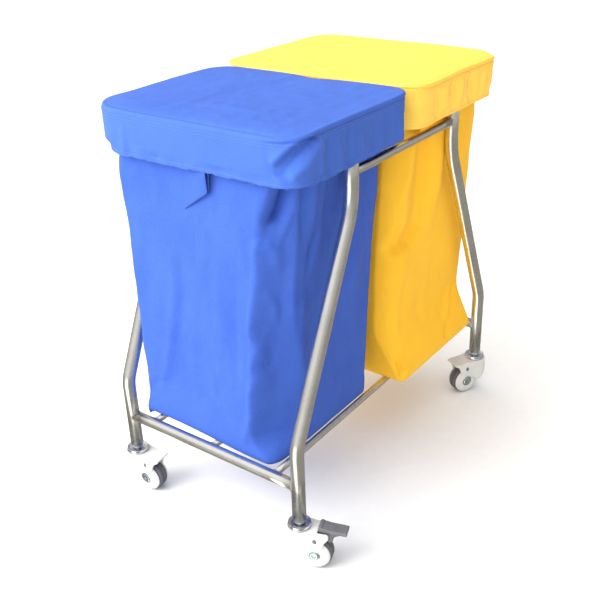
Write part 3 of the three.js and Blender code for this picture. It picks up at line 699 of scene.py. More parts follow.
class Ring:
    """A ringed cloth: rows of points round its rounded plan, with a set number on each side and corner."""

    def __init__(self, spacing, half_x, half_y, corner):
        self.half_front = max(4, round((half_x - corner) / spacing))
        self.side = max(8, round(2 * (half_y - corner) / spacing))
        self.bend = max(8, round(corner * math.pi / 2 / spacing * 1.3))
        points, _ = self.at(-half_x, half_x, -half_y, half_y, corner)
        gaps = np.linalg.norm(np.roll(points, -1, axis=0) - points, axis=1)
        self.girth = gaps.sum()
        self.s = np.concatenate([[0], gaps[:-1].cumsum()])
        self.rows, self.downs = [], []

    def at(self, left, right, front, rear, corner, facets=(0, 0, 0, 0), longer=0.0):
        """Points round the plan from the middle of its front towards +X, and the way out at each. The
        corner is one radius, or one for each corner from the front right round to the front left. The
        facets say how far each corner is flattened, from 0 for round to 1 for a straight cut. The front
        right corner is longer along the side than along the front by the share that longer gives."""
        fr, rr, rl, fl = corner if np.ndim(corner) else (corner,) * 4
        long, half_way = fr * (1 + longer), ((left + right) / 2, front)
        # Each corner's centre and radii, the end of the straight stretch after it, and the points on
        # that stretch.
        bends = [((right - fr, front + long), (fr, long), (right, rear - rr), self.side),
                 ((right - rr, rear - rr), (rr, rr), (left + rl, rear), 2 * self.half_front),
                 ((left + rl, rear - rl), (rl, rl), (left, front + fl), self.side),
                 ((left + fl, front + fl), (fl, fl), half_way, self.half_front)]
        points = [np.linspace(half_way, (right - fr, front), self.half_front, endpoint=False)]
        ways = [np.full(self.half_front, -90.0)]
        turn = np.linspace(0, 90, self.bend, endpoint=False)
        for start, facet, (centre, radii, stop, count) in zip((-90, 0, 90, 180), facets, bends):
            first, last = headings(start), headings(start + 90)
            cut = first + (last - first) * turn[:, None] / 90
            points.append(centre + np.array(radii) * ((1 - facet) * headings(start + turn) + facet * cut))
            points.append(np.linspace(centre + np.array(radii) * last, stop, count, endpoint=False))
            ways += [start + turn, np.full(count, start + 90.0)]
        return np.concatenate(points), headings(np.concatenate(ways))

    def add_row(self, plan, z, down):
        """The next row: its plan, its height, and its distance down the cloth."""
        self.rows.append(np.column_stack([plan, z + 0 * self.s]))
        self.downs.append(down + 0 * self.s)

    def cloth(self, name, thickness, flat_rows, skip=None):
        """The solid cloth. Rows up to flat_rows take their UVs from above, the others from the distance
        round and down."""
        uv = np.tile(self.s, (len(self.rows), 1)), np.array(self.downs)
        mesh = grid_mesh(name, np.array(self.rows), True, uv, skip)
        layer = mesh.uv_layers["UVMap"].data
        for polygon in mesh.polygons:
            if max(polygon.vertices) // len(self.s) <= flat_rows:
                for loop in polygon.loop_indices:
                    layer[loop].uv = mesh.vertices[mesh.loops[loop].vertex_index].co.xy
        return solid_cloth(cleaned(mesh), thickness)


STITCH = 0.0032
STITCH_GAP = 0.0014
THREAD_RADIUS = 0.00038


def stitches(line, ways):
    """A row of sewn stitches laid along a line of points, each a short thread sunk at its ends."""
    steps = np.concatenate([[0], np.linalg.norm(np.diff(line, axis=0), axis=1).cumsum()])
    starts = np.arange(STITCH_GAP, steps[-1] - STITCH, STITCH + STITCH_GAP)
    along = starts[:, None] + STITCH * np.linspace(0, 1, 5)
    centre, way = (np.stack([np.interp(along, steps, table[:, k]) for k in range(3)], -1)
                   for table in (line, ways))
    way = unit(way)
    centre = centre + way * THREAD_RADIUS * np.array([-1.2, 0.5, 0.8, 0.5, -1.2])[:, None]
    up, cos, sin = way[:, 2], *headings(72 * np.arange(5)).T[:, :, None]
    across = np.cross(unit(centre[:, -1] - centre[:, 0]), up)
    ring = across[:, None, None] * cos + up[:, None, None] * sin
    points = centre[:, :, None] + ring * THREAD_RADIUS * np.array([0.5, 1, 1, 1, 0.5])[:, None, None]
    edges = [(k + c, k + (c + 1) % 5) for k in range(0, 20, 5) for c in range(5)]
    shape = [*((a, b, b + 5, a + 5) for a, b in edges), (4, 3, 2, 1, 0), (20, 21, 22, 23, 24)]
    mesh = bpy.data.meshes.new("stitches")
    faces = [tuple(25 * i + v for v in face) for i in range(len(starts)) for face in shape]
    mesh.from_pydata(points.reshape(-1, 3).tolist(), [], faces)
    return smooth(cleaned(mesh, 0))


# ---------- Covers ----------

COVER_SPACING = 0.0042
RING_CORNER = 0.058
COVER_THICKNESS = 0.0016
COVER_CORNERS = {"front": (0.058, 0.058, 0.065, 0.092), "rear": (0.058, 0.068, 0.06, 0.06)}
TOP_ROWS = 46
NOISE_SIZE = 0.7  # of the square of noise over a cover's top
EDGE_DROP = 0.0047  # from the top of the cover's box to the edge of the cloth
SEAM_INSET = 0.0075
WELT_HEIGHT = 0.0011
WELT_PUCKER = 0.0062
# The seam round the top: how far in and how low each row lies, and its share of the welt's height.
WELT_ROWS = [(SEAM_INSET, 0.0, 0.6), (0.0055, 0.0, 1.0), (0.0035, -0.0004, 1.0), (0.0018, -0.0012, 0.9),
             (0.0006, -0.0026, 0.5), (0.0, -0.0048, 0.0)]
RIM_WIDTH = 0.011
# How far the rim of each cover's top falls at its right, rear, left and front sides.
RIM_DROPS = {"front": (0.0006, 0.0028, 0.0050, 0.0050), "rear": (0.0030, 0.0010, 0.0030, 0.0010)}
SKIRT_DROP = 0.099
SKIRT_LEAN = {"front": (-0.155, 0), "rear": (0.06, 0)}  # how much the sides facing this way lean in
SEAM_DROP = 0.0084  # the groove where the top is sewn to the skirt
HEM_DROP = 0.086  # the top of the hem
SKIRT_DROPS = np.array([0.0060, 0.0072, 0.0084, 0.0096, 0.0112, *np.linspace(0.0138, SKIRT_DROP, 30)])
CUFF_ROOM = 0.0034  # from the bag's cuff, or the head of a leg, to the outside of the skirt over it
TENT_RADIUS = 0.10  # of the skirt where it passes over a leg

# Here the heights of the folds are depths below the top.
FRONT_SKIRT_FOLDS = folds(
    (8.5, -16.5, 4, 10, 30, 305, 0, 272, 14, 249, 30, 228, 52, 213, 72),
    (6, 5, 10, 20, 0, 272, 2, 250, 10, 226, 30, 204, 54),
    (12, 8.5, 10, 15, 0, 309, 12, 300, 32, 270, 56, 238, 78),
    (8, 4.2, 10, 30, 0, 313, 6, 315, 45, 316, 88),
    (11, -6, 40, 40, 0, 182, 46, 188, 62, 180, 82),
    (8, -3.6, 20, 20, 0, 342, 12, 338, 55, 342, 97),
    (8, 2.6, 30, 20, 0, 372, 30, 380, 70, 378, 99),
    (9, -3.6, 20, 20, 0, 412, 10, 405, 60, 410, 99),
    (8, 2.6, 40, 20, 0, 450, 30, 455, 90),
    (10, -2.8, 30, 20, 0, 500, 12, 495, 90),
    (12, 2.4, 40, 10, 0, 40, 60, 20, 99),
    (10, -2.6, 40, 10, 0, 85, 64, 90, 99),
    (11, -2.8, 40, 10, 0, 1700, 55, 1690, 99),
    (11, 2.4, 40, 10, 0, 130, 70, 140, 99),
    (11, 2.4, 40, 10, 0, 1640, 60, 1650, 99),
    (12, 3, 30, 20, 0, 1600, 10, 1590, 95),
    (6, -1.2, 30, 30, 0, 150, 12, 80, 16, 0, 11),
)
REAR_SKIRT_FOLDS = folds(
    (13, -7.5, 20, 30, 0, 330, 20, 345, 60, 340, 95),
    (14, -8.3, 20, 30, 0, 400, 12, 420, 50, 410, 92),
    (12, 5.3, 30, 30, 0, 370, 20, 380, 80),
    (12, 6, 30, 30, 0, 450, 15, 440, 90),
    (12, -7.5, 20, 30, 0, 490, 10, 505, 50, 500, 90),
    (12, 4.5, 30, 30, 0, 560, 20, 570, 85),
    (15, 4.5, 30, 30, 0, 260, 30, 268, 90),
)

# Sags and ridges of the tops: place, half length and half width in mm, turn in degrees, and height in mm.
DIPS = {
    "front": [(0, 0, 200, 140, 0, -1.2), (20, 212, 40, 16, 0, -4.5), (20, 190, 30, 50, 0, -1.2),
              (-90, 40, 110, 20, 60, 1.4), (100, 50, 120, 16, 25, 1.2), (20, -100, 100, 14, 8, 1.4),
              (-160, -100, 80, 20, 40, -1.2), (160, -130, 90, 15, 30, -1.2)],
    "rear": [(0, 0, 200, 140, 0, -1.4), (-120, -30, 120, 18, 35, 1.4), (120, 60, 100, 18, -20, 1.4),
             (245, 190, 35, 35, 0, -5)],
}


def hidden_skirt_folds(seed, first, last):
    """Folds of a skirt for the faces that lie between these distances round."""
    draw = np.random.RandomState(seed)
    table = []
    for _ in range(22):
        start, top = draw.uniform(first, last), draw.uniform(0.008, 0.05)
        line = [(start, top), (start + draw.uniform(-0.02, 0.02), draw.uniform(0.08, 0.098))]
        table.append(drawn_fold(draw, line, (0.007, 0.014), (0.0015, 0.004), (0.3, 0.3)))
    return table


def outside_cuff(plan):
    """How far points of a plan, measured from a cover's middle, lie outside the bag's cuff."""
    corner = CUFF[3]
    away = np.abs(plan) - (np.array(CUFF[1:3]) - corner)
    return np.linalg.norm(np.maximum(away, 0), axis=1) + np.minimum(away.max(axis=1), 0) - corner


def clear_of_leg(plan, leg):
    """The x of points of a plan, moved out where a side of the skirt passes over the head of a leg."""
    away = plan[:, 1] - leg[1]
    least = leg[0] + LEG_RADIUS + CUFF_ROOM - away**2 / (2 * TENT_RADIUS)
    reach = np.abs(plan[:, 0])
    out = (reach + least + np.hypot(reach - least, 0.001)) / 2
    return np.where(np.abs(away) < 0.08, np.sign(plan[:, 0]) * out, plan[:, 0])


def rim_drop(drops, ways):
    """The fall of the rim for each outward way, blended from side to side."""
    return sum(drop * np.maximum(0, ways @ headings(90 * k)) ** 2 for k, drop in enumerate(drops))


def top_dips(end, x, y):
    total = 0 * x
    for middle_x, middle_y, long, wide, turn, height in DIPS[end]:
        cos, sin = headings(turn)
        off_x, off_y = x - middle_x / 1000, y - middle_y / 1000
        along, across = (off_x * cos + off_y * sin) * 1000 / long, (off_y * cos - off_x * sin) * 1000 / wide
        total = total + height / 1000 * np.exp(-(along**2) - across**2)
    return total


def add_cover(end, material, thread, seed, skirt_folds):
    node = f"cover_{end}"
    low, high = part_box(node)
    centre, half = middle(node), half_size(node)
    edge_z = high.z - EDGE_DROP
    ring = Ring(COVER_SPACING, half.x, half.y, RING_CORNER)
    outline, ways = ring.at(-half.x, half.x, -half.y, half.y, COVER_CORNERS[end])
    s, zero = ring.s, 0 * ring.s
    slow = noise_field(ring.girth, 0.6, 0.11, seed)
    crumple, fine = (noise_field(NOISE_SIZE, NOISE_SIZE, cell, seed + k)
                     for k, cell in ((1, 0.045), (2, 0.016)))
    ripple, wobble = (noise_field(ring.girth, 0.3, cell, seed + k) for k, cell in ((3, 0.034), (4, 0.12)))
    outline = outline + ways * (0.0018 * wobble(s, zero))[:, None]
    reach = np.linalg.norm(outline, axis=1)
    rim = rim_drop(RIM_DROPS[end], ways) + 0.0010 * wobble(s, zero + 0.2)
    edge_dips, edge_wave = top_dips(end, *outline.T), 0.0009 * slow(s, zero + 0.1)
    leg = (middle(f"leg_{end}_right").x, math.copysign(LEG_HEAD_Y, centre.y) - centre.y)
    for share in np.linspace(0, 1, TOP_ROWS + 1)[:-1] ** 0.9:
        flat = (outline - ways * SEAM_INSET) * share
        x, y = flat.T
        z = high.z - 0.0035 + 0.0022 * (1 - share**2) - 0.0012 * share**6 + top_dips(end, x, y)
        u, v = x + NOISE_SIZE / 2, y + NOISE_SIZE / 2
        z = z + 0.0016 * creased(crumple, u, v) + 0.0006 * creased(fine, u, v)
        ring.add_row(flat, z - rim * np.exp(-(1 - share) * reach / RIM_WIDTH), -0.2 * (1 - share))
    for inset, z, welt in WELT_ROWS:
        rise = WELT_HEIGHT * welt * (1 + 0.25 * np.sin(s * 2 * math.pi / WELT_PUCKER))
        place = outline - ways * (inset - 0.3 * rise)[:, None]
        ring.add_row(place, edge_z + z + rise + edge_wave + edge_dips - rim, 0)
    for drop in SKIRT_DROPS:
        down = zero + drop
        out = 0.0022 * creased(ripple, s, down * 0.35) + 0.0008 * creased(fine, s % NOISE_SIZE, down)
        out = (out + 0.0009 * slow(s, down)) * ease(drop, 0.0, 0.06)
        out -= np.maximum(0, ways @ np.array(SKIRT_LEAN[end])) * drop
        out += add_folds(skirt_folds, ring, s, down) * ease(drop, 0.002, 0.015)
        out += 0.0007 * ease(drop, HEM_DROP - 0.001, HEM_DROP + 0.001)
        out -= 0.0013 * math.exp(-(((drop - SEAM_DROP) / 0.0015) ** 2))
        out -= 0.0006 * math.exp(-(((drop - HEM_DROP) / 0.0016) ** 2))
        place = outline + ways * (out - 0.0012)[:, None]
        room = np.maximum(0, CUFF_ROOM - outside_cuff(place)) * (1 - ease(drop, 0.070, 0.084))
        place += ways * room[:, None]
        place[:, 0] = clear_of_leg(place, leg)
        z = edge_z - drop - (rim - edge_dips) * (1 - drop / SKIRT_DROP) + edge_wave
        z += 0.0012 * ease(drop, 0.05, SKIRT_DROP) * slow(s, zero + 0.2)
        ring.add_row(place, np.maximum(z, low.z), drop)
    for row in ring.rows:
        row[:, :2] += centre.xy
    slot = CLOTH_SLOTS[end]
    cloth = ring.cloth(node, COVER_THICKNESS, TOP_ROWS + 2)
    cover = piece(f"{end}_cover_cloth", cloth, node, slot, material, node)
    seams = []
    for seam_drop in (None, SEAM_DROP + 0.003, SEAM_DROP + 0.009, HEM_DROP + 0.002):
        row, way = TOP_ROWS - 1, np.tile((0, 0, 1.0), (len(s), 1))
        if seam_drop:
            row = TOP_ROWS + len(WELT_ROWS) + np.abs(SKIRT_DROPS - seam_drop).argmin()
            way = np.column_stack([ways, zero])
        seams.append(stitches(closed(ring.rows[row]), closed(way)))
    seam = piece(f"{end}_cover_stitching", smooth(joined(*seams)), node, slot, thread)


BOARD_SINK = 0.0022  # leaves room for the dents of the cloth over it
BOARD_INSET = 0.011
BOARD_ROUND = mm(2, 0, 0.4, 0.3, 0, 0.7)  # inset and height of the rows that round off each edge


def add_board(end):
    node = f"lid_board_{end}"
    low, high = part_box(node)
    centre, half = middle(node), half_size(node)
    wide, deep, top = half.x - BOARD_INSET, half.y - BOARD_INSET, high.z - BOARD_SINK
    corners = [radius - 0.004 for radius in COVER_CORNERS[end]]
    outline, ways = Ring(0.008, half.x, half.y, 0.05).at(-wide, wide, -deep, deep, corners)
    rings = [(outline - ways * inset, low.z + z) for inset, z in BOARD_ROUND]
    rings += [(outline - ways * inset, top - z) for inset, z in reversed(BOARD_ROUND)]
    rings = [(outline * 0, low.z), *rings, (outline * 0, top)]
    rows = [np.column_stack([plan + centre.xy, np.full(len(plan), z)]) for plan, z in rings]
    mesh = cleaned(grid_mesh(node, np.array(rows), True), 1e-7)
    piece(f"{end}_lid_board", smooth(mesh), f"cover_{end}", "board", BOARD, node)


# ---------- Bags ----------

BAG_SPACING = 0.0052
BAG_RING = (BAG_SPACING, 0.205, 0.182, 0.045)
BAG_NOISE = (0.16, 0.052, 0.019)  # the cells of the broad, medium and fine crumples
BAG_THICKNESS = 0.0021
BAG_BOTTOM = 0.2053
BOTTOM_ROWS = 30
# Height, half width, half depth and corner.
MOUTH = (0.872, 0.225, 0.183, 0.048)
CUFF = (0.872, 0.2515, 0.2025, 0.068)
# Height, then left, right, front, rear and corner of the plan, the trolley's middle at y = 0.
LEVELS = {
    "front": [(205.3, -209, 169, -402, -44, 18), (238, -203, 170, -399, -38, 60),
              (320, -203, 172, -394, -33, 68), (500, -207, 180, -394, -29, 64),
              (770, -213, 204, -393, -27, 53), (872, -225, 225, -393, -27, 48)],
    "rear": [(205.3, -205, 231, 40, 400, 16), (245, -201, 216, 36, 396, 30),
             (320, -198, 188, 32, 393, 46), (460, -204, 197, 29, 392, 50),
             (770, -213, 212, 27, 392, 50), (872, -225, 225, 27, 393, 48)],
}
# The radii of the four corners below the hoop, as shares of the radius in LEVELS.
CORNER_SHARES = {"front": (1.0, 0.36, 0.40, 0.28), "rear": (0.9, 0.40, 0.6, 0.6)}
# The heights where the four corners start to grow round, up to the hoop.
CORNER_ROUNDS = {"front": (0.78, 0.56, 0.78, 0.78), "rear": (0.78,) * 4}
# How far the front right, rear right, rear left and front left corners are flattened.
FACETS = {"front": (0.92, 0.2, 0.2, 0.0), "rear": (0.60, 0.2, 0.2, 0.2)}
LONGER = {"front": 0.8, "rear": 0.0}  # how much longer the front right corner is along the side, low down
FRONT_LIFT = {"front": 0.013, "rear": 0.0}  # how far the far end of the front bottom edge is off the bars
CREASING = {"front": 1.0, "rear": 0.55}  # how crumpled each bag is
WALL_HEIGHTS = [0.0, 0.0018, 0.0045, 0.008, 0.0125,
                *np.arange(0.018, MOUTH[0] - BAG_BOTTOM - 0.002, BAG_SPACING)]
# The cloth over the hoop and down the cuff: how far outside the mouth each row lies, and its height.
CUFF_ROWS = mm(0, 880, 3, 900, 6.5, 914, 7.8, 921.5, 8.8, 926.5, 11.2, 929.8, 14.5, 931.2, 18, 930.6,
               20.8, 928.5, 23.2, 924.5, 25, 917, 25.8, 905, 26.2, 892, 26.4, 880, 26.5, 873.5)
CUFF_ROW_STEP = 0.008
SLIT_HALF = 0.0195
SLIT_TOP = 0.926

FRONT_FOLDS = folds(
    (12.5, -26, 2, 20, -35, 207, 872, 199, 820, 192, 782, 174, 747),
    (6, 5, 10, 40, 0, 176, 870, 172, 790, 166, 700),
    (7, 7.5, 10, 60, 0, 224, 868, 219, 790, 196, 690),
    (8, -9, 10, 50, 0, 240, 866, 246, 785, 248, 690),
    (12, 7, 10, 50, 0, 268, 862, 276, 760, 262, 660),
    (6, -7.5, 20, 50, 0, 300, 722, 279, 672, 262, 605),
    (8, 6, 30, 40, 0, 314, 730, 294, 670, 278, 605),
    (16, -8, 20, 40, 0, 342, 840, 335, 740, 318, 640),
    (9, 5, 30, 40, 0, 178, 735, 196, 690, 203, 640),
    (11, 9, 5, 8, -35, 172, 735, 165, 700, 170, 640, 166, 589, 158, 521, 174, 480, 165, 433,
     172, 410, 162, 360, 164, 310, 140, 262, 116, 228),
    (14, -3, 20, 30, 0, 222, 705, 212, 600, 204, 500, 196, 400, 186, 300, 178, 250),
    (11, 8.5, 25, 30, 0, 262, 610, 246, 497, 230, 402, 214, 320),
    (17, -7, 30, 30, 0, 300, 560, 285, 440, 262, 300),
    (6, -5, 40, 40, 0, 186, 505, 190, 455, 182, 400),
    (6, 3.5, 30, 40, 0, 178, 620, 196, 575, 205, 520),
    (10, 5.2, 25, 20, 0, 1413, 665, 1412, 560, 1385, 420, 1333, 265),
    (14, -3.6, 40, 40, 0, 1440, 700, 1434, 560, 1410, 430),
    (20, 3.4, 40, 40, 0, 60, 690, 66, 560, 78, 430),
    (16, -3.8, 40, 40, 0, 110, 640, 118, 480, 108, 330),
    (7, -2.2, 40, 40, 0, 30, 780, 55, 740, 90, 722),
    (7, 2, 40, 40, 0, 46, 800, 52, 720),
    (18, -3.4, 40, 40, 0, 1350, 720, 1340, 560, 1320, 420),
    (16, 3, 40, 40, 0, 1300, 700, 1310, 500),
    (8, -3, 10, 50, 0, 1290, 250, 1330, 300, 1380, 330),
    (10, -4.5, 30, 30, 0, 300, 240, 250, 226, 215, 232),
)
REAR_FOLDS = folds(
    (27, -23, 5, 14, 50, 296, 868, 302, 780, 304, 690, 302, 632, 290, 583, 256, 556, 202, 545, 160, 552),
    (26, 12, 10, 50, 0, 360, 866, 356, 700, 347, 610, 330, 500),
    (14, 8, 20, 40, 0, 258, 850, 238, 740, 205, 650),
    (19, -10, 20, 50, 0, 410, 850, 405, 720, 385, 600),
    (6, -7.5, 20, 10, 0, 505, 350, 465, 292, 430, 255, 392, 218),
    (10, 6, 30, 30, 0, 482, 358, 440, 290, 408, 250),
    (6.5, -7.5, 10, 40, 0, 178, 240, 223, 250, 268, 272),
    (8, 6, 10, 50, 0, 186, 224, 225, 230, 270, 240),
    (20, -5, 40, 40, 0, 250, 480, 240, 380, 250, 290),
    (20, -5, 40, 40, 0, 300, 400, 330, 290),
    (16, 6, 30, 40, 0, 460, 840, 470, 700, 478, 560, 470, 420),
)


def bag_level(end, z):
    """The plan at a height, eased between the levels."""
    table = np.array(LEVELS[end]) / 1000
    at = [np.clip(z + dz, table[0, 0], table[-1, 0]) for dz in (-0.02, 0.0, 0.02)]
    return [sum(np.interp(at, table[:, 0], table[:, k])) / 3 for k in range(1, 6)]


def hidden_folds(seed, first, last):
    """Folds of a hanging bag for the faces that lie between these distances round."""
    draw = np.random.RandomState(seed)
    table = []
    for _ in range(26):
        start, top = draw.uniform(first, last), draw.uniform(0.62, 0.87)
        drift, drop = draw.uniform(-0.05, 0.05), draw.uniform(0.12, 0.34)
        line = [(start, top), (start + drift * 0.4, top - drop * 0.5), (start + drift, top - drop)]
        table.append(drawn_fold(draw, line, (0.010, 0.022), (0.003, 0.006), (0.3, 0.4)))
    for _ in range(10):
        start, low = draw.uniform(first, last), draw.uniform(0.215, 0.30)
        run, rise = draw.uniform(-0.07, 0.07), draw.uniform(0.03, 0.14)
        line = [(start, low), (start + run, low + rise)]
        table.append(drawn_fold(draw, line, (0.007, 0.014), (0.002, 0.005), (0.2, 0.5)))
    return table


def add_bag(end, side, material, seed, bag_folds):
    node = f"bag_{end}"
    ring = Ring(*BAG_RING)
    s, zero, girth = ring.s, 0 * ring.s, ring.girth
    broad, medium, fine = (noise_field(girth, 0.9, cell, seed + k) for k, cell in enumerate(BAG_NOISE))
    plan, ways = ring.at(*bag_level(end, BAG_BOTTOM))
    lift = FRONT_LIFT[end] * ease(-ways[:, 1], 0.3, 1.0) * ease(-plan[:, 0], -0.12, 0.12)
    centre = plan.mean(axis=0)
    for share in np.linspace(0, 1, BOTTOM_ROWS + 1)[:-1]:
        flat = centre + (plan - centre) * share
        x, y = flat.T
        sag = 0.0035 * np.cos(x / 0.175 * math.pi * 2) - 0.0035
        z = BAG_BOTTOM + 0.0004 + sag * (1 - share**4) + 0.0006 * medium((x + 1) % girth, y + 0.5)
        ring.add_row(flat, np.maximum(z, BAG_BOTTOM - 0.008) + lift * share**3, 0)
    for height in WALL_HEIGHTS:
        z = BAG_BOTTOM + height
        level = zero + z
        flatten = ease(z, BAG_BOTTOM, BAG_BOTTOM + 0.05) * (1 - 0.85 * ease(z, 0.80, 0.868))
        *sides, corner = bag_level(end, z)
        corners = [corner * (1 + (share - 1) * (1 - ease(z, low, 0.868)))
                   for share, low in zip(CORNER_SHARES[end], CORNER_ROUNDS[end])]
        longer = LONGER[end] * (1 - ease(z, 0.26, 0.56))
        place, ways = ring.at(*sides, corners, [share * flatten for share in FACETS[end]], longer)
        grow = ease(z, BAG_BOTTOM + 0.004, BAG_BOTTOM + 0.06) * (1 - 0.75 * ease(z, 0.80, 0.872))
        creases = 0.0032 * creased(medium, s, level * 0.6) + 0.0013 * creased(fine, s, level * 0.8)
        out = grow * (0.0040 * broad(s, level) + CREASING[end] * creases)
        shown = ease(z, BAG_BOTTOM + 0.001, BAG_BOTTOM + 0.02) * (1 - ease(z, 0.85, 0.872))
        out += add_folds(bag_folds, ring, s, level) * shown - 0.0035 * (1 - min(height / 0.0125, 1)) ** 2
        ring.add_row(place + ways * out[:, None], level + lift * (1 - ease(height, 0.0, 0.16)), height)
    _, half_x, half_y, corner = MOUTH
    share_y = (CUFF[2] - half_y) / (CUFF[1] - half_x)
    for k, (out, z) in enumerate(CUFF_ROWS):
        wide, deep, bend = half_x + out, half_y + out * share_y, corner + out * 0.75
        corners = [bend] * 3 + [bend + max(0, out - 0.012) * 0.55]
        place, ways = ring.at(-wide, wide, side * LEG_HEAD_Y - deep, side * LEG_HEAD_Y + deep, corners)
        wave = (0.0009 * medium(s, zero + z) + 0.0004 * fine(s, zero + z)) * (1 if k > 10 else 0.2)
        ring.add_row(place + ways * wave[:, None], z, WALL_HEIGHTS[-1] + CUFF_ROW_STEP * (k + 1))
    x, y, z = np.moveaxis(np.array(ring.rows), 2, 0)
    quad_z, quad_y = (z[:-1] + z[1:]) / 2, (y[:-1] + np.roll(y[:-1], -1, axis=1)) / 2
    slit = (np.abs(quad_y - side * LEG_HEAD_Y) < SLIT_HALF) & (np.abs(x[:-1]) > 0.2) & (quad_z < SLIT_TOP)
    slit[:BOTTOM_ROWS + len(WALL_HEIGHTS) + 9] = False
    mesh = ring.cloth(node, BAG_THICKNESS, BOTTOM_ROWS, slit)
    bag = piece(f"{end}_bag_cloth", mesh, node, CLOTH_SLOTS[end], material, node)
    return bag


# The top and the bottom of each edge of the strap, in x and z, and how far each edge stands off the bag.
LOOP_LEFT = ((-0.019, 0.866), (-0.0265, 0.7520))
LOOP_RIGHT = ((0.0540, 0.866), (0.0415, 0.7990))
LOOP_STAND = (0.0006, 0.0240)
LOOP_STEPS = (14, 30)
LOOP_THICKNESS = 0.0009


def add_loop(end, bag, material):
    """The handling loop: a strap folded in two, hanging flat on the bag below its cuff."""
    turn = 1 if end == "front" else -1
    wall = BVHTree.FromPolygons([v.co for v in bag.data.vertices], [p.vertices for p in bag.data.polygons])
    across, down = LOOP_STEPS
    rows = np.zeros((2, down + 1, across + 1, 3))
    for layer, j, i in np.ndindex(rows.shape[:3]):
        u, v = i / across, j / down
        left, right = (np.array(top) + (np.array(bottom) - top) * v
                       for top, bottom in (LOOP_LEFT, LOOP_RIGHT))
        x, z = left + (right - left) * u
        hit = wall.ray_cast(Vector((turn * x, -turn, z)), Vector((0, turn, 0)))[0]
        free = (0.35 + 0.65 * ease(v, 0.02, 0.30)) * (1 - 0.7 * v)
        bulge = 0.0012 * math.sin(math.pi * u) * v
        stand = LOOP_STAND[0] + (LOOP_STAND[1] - LOOP_STAND[0]) * u**1.3 * free + bulge
        stand = stand * (1.0 if layer else 0.45) + 0.0003 + 0.0011 * layer
        rows[layer, j, i] = (turn * x, hit.y - turn * stand, z)
    inner, outer = rows
    rows = np.concatenate([outer, inner[::-1]])
    uv = (np.tile(np.linspace(0, 0.05, across + 1), (len(rows), 1)),
          np.tile(np.linspace(0, 0.22, len(rows))[:, None], (1, across + 1)))
    mesh = solid_cloth(cleaned(grid_mesh(f"bag_loop_{end}", rows, False, uv), 1e-7), LOOP_THICKNESS, 0.0)
    loop = piece(f"{end}_bag_strap", mesh, f"bag_{end}", CLOTH_SLOTS[end], material, f"bag_loop_{end}")


def add_soft_goods():
    for (end, side), material, cover_material, thread, seed, bag_folds, skirt_folds in (
        (ENDS[0], BLUE, BLUE_COVER, BLUE_THREAD, 11, FRONT_FOLDS + hidden_folds(5, 0.42, 1.27),
         FRONT_SKIRT_FOLDS + hidden_skirt_folds(8, 0.60, 1.55)),
        (ENDS[1], YELLOW, YELLOW_COVER, YELLOW_THREAD, 23, REAR_FOLDS + hidden_folds(6, 0.56, 1.62),
         REAR_SKIRT_FOLDS + hidden_skirt_folds(9, 0.62, 1.95)),
    ):
        bag = add_bag(end, side, material, seed, bag_folds)
        add_board(end)
        add_cover(end, cover_material, thread, seed + 50, skirt_folds)
        add_loop(end, bag, material)


# ---------- Studio ----------

FLOOR_REACH = 40.0
KEY_PLACE = (-1.5, -2.75, 2.3)
KEY_TARGET = (0, 0, 0.55)
KEY_SIZE = 2.7
KEY_POWER = 165
SKY_BRIGHT_WAY = (-0.30, -0.62, 0.72)
SKY_RANGE = (0.03, 2.5)
SHEEN_WAY = (-0.05, -0.999, 0.0)  # where tubes find their bright reflection
SHEEN_TINTS = ((0.35, 0.34, 0.305), (2.6, 2.65, 2.5))


def add_studio():
    floor = bpy.data.meshes.new("floor")
    corners = [(x * FLOOR_REACH, y * FLOOR_REACH, 0) for x, y in ((-1, -1), (1, -1), (1, 1), (-1, 1))]
    floor.from_pydata(corners, [], [(0, 1, 2, 3)])
    shader = Shader("studio_floor", (0.79, 0.79, 0.79), 0.9)
    shader.tint(shader.spread(shader.grain(40), 0, 1), (0.78, 0.78, 0.78), (0.80, 0.80, 0.80))
    floor.materials.append(shader.material)
    stage = new_object("floor", floor)
    data = bpy.data.lights.new("key", "AREA")
    data.shape, data.size, data.energy = "SQUARE", KEY_SIZE, KEY_POWER
    key = new_object("key", data)
    key.location = KEY_PLACE
    key.rotation_euler = (Vector(KEY_TARGET) - key.location).to_track_quat("-Z", "Y").to_euler()
    stage.visible_glossy = key.visible_glossy = False
    bpy.context.scene.view_settings.view_transform = "Standard"


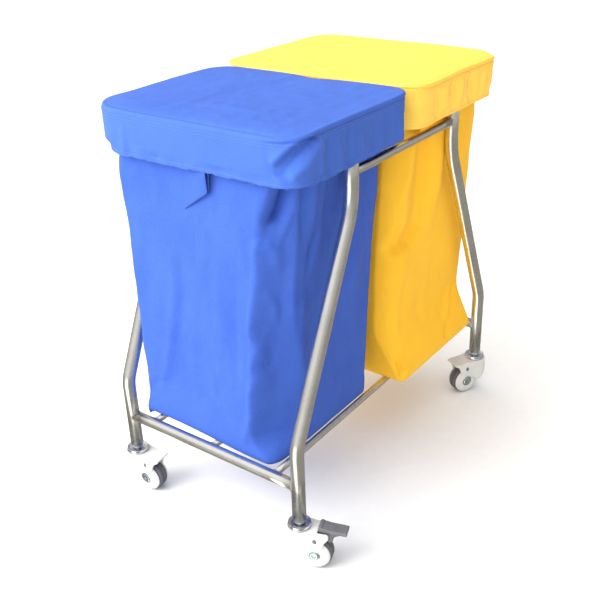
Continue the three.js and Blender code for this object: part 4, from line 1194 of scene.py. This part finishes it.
def add_sky():
    """Soft light from the front left. What lies under the horizon is seen only in polished metal, because the
    floor hides it from everything else."""
    world = bpy.data.worlds.new("studio")
    world.use_nodes = True

    def node(kind, inputs=(), output=0, **settings):
        return add_node(world.node_tree, kind, inputs, **settings).outputs[output]

    way = node("TexCoord", output="Generated")
    height = node("SeparateXYZ", {0: way}, "Z")
    facing = node("VectorMath", {0: way, 1: SKY_BRIGHT_WAY}, "Value", operation="DOT_PRODUCT")
    sky = node("MapRange", {0: facing, 1: -0.25, 2: 0.98, 3: SKY_RANGE[0], 4: SKY_RANGE[1]},
               interpolation_type="SMOOTHSTEP")
    band = node("MapRange", {0: height, 1: 0.05, 2: 0.34, 3: 1.0, 4: 0.0})
    lifted = node("Mix", {0: band, 2: sky, 3: 0.9})
    mirrored = node("Math", {0: lifted, 1: 0.36, 2: 0.26}, operation="MULTIPLY_ADD")
    lifted = node("Mix", {0: node("LightPath", output="Is Glossy Ray"), 2: lifted, 3: mirrored})
    level = node("VectorMath", {0: way, 1: (1, 1, 0)}, operation="MULTIPLY")
    level = node("VectorMath", {0: level}, operation="NORMALIZE")
    sheen = node("VectorMath", {0: level, 1: SHEEN_WAY}, "Value", operation="DOT_PRODUCT")
    share = node("MapRange", {0: sheen, 1: 0.88, 2: 0.965}, interpolation_type="SMOOTHSTEP")
    dark, light = ((*tint, 1) for tint in SHEEN_TINTS)
    below = node("Mix", {0: share, MIX_A: dark, MIX_B: light}, MIX_OUT, data_type="RGBA")
    under = node("MapRange", {0: height, 1: -0.12, 2: -0.05, 3: 1.0, 4: 0.0})
    above = node("CombineColor", {0: lifted, 1: lifted, 2: lifted})
    both = node("Mix", {0: under, MIX_A: above, MIX_B: below}, MIX_OUT, data_type="RGBA")
    world.node_tree.links.new(both, world.node_tree.nodes["Background"].inputs["Color"])
    bpy.context.scene.world = world


add_camera()
add_frame()
add_castors()
add_soft_goods()
add_studio()
add_sky()
for node in frame["nodes"]:
    if node.startswith("castor"):
        for slot in frame["nodes"][node].material_slots:
            slot.material = ZINC if node.endswith(("_stem", "_race", "_pin")) else NYLON
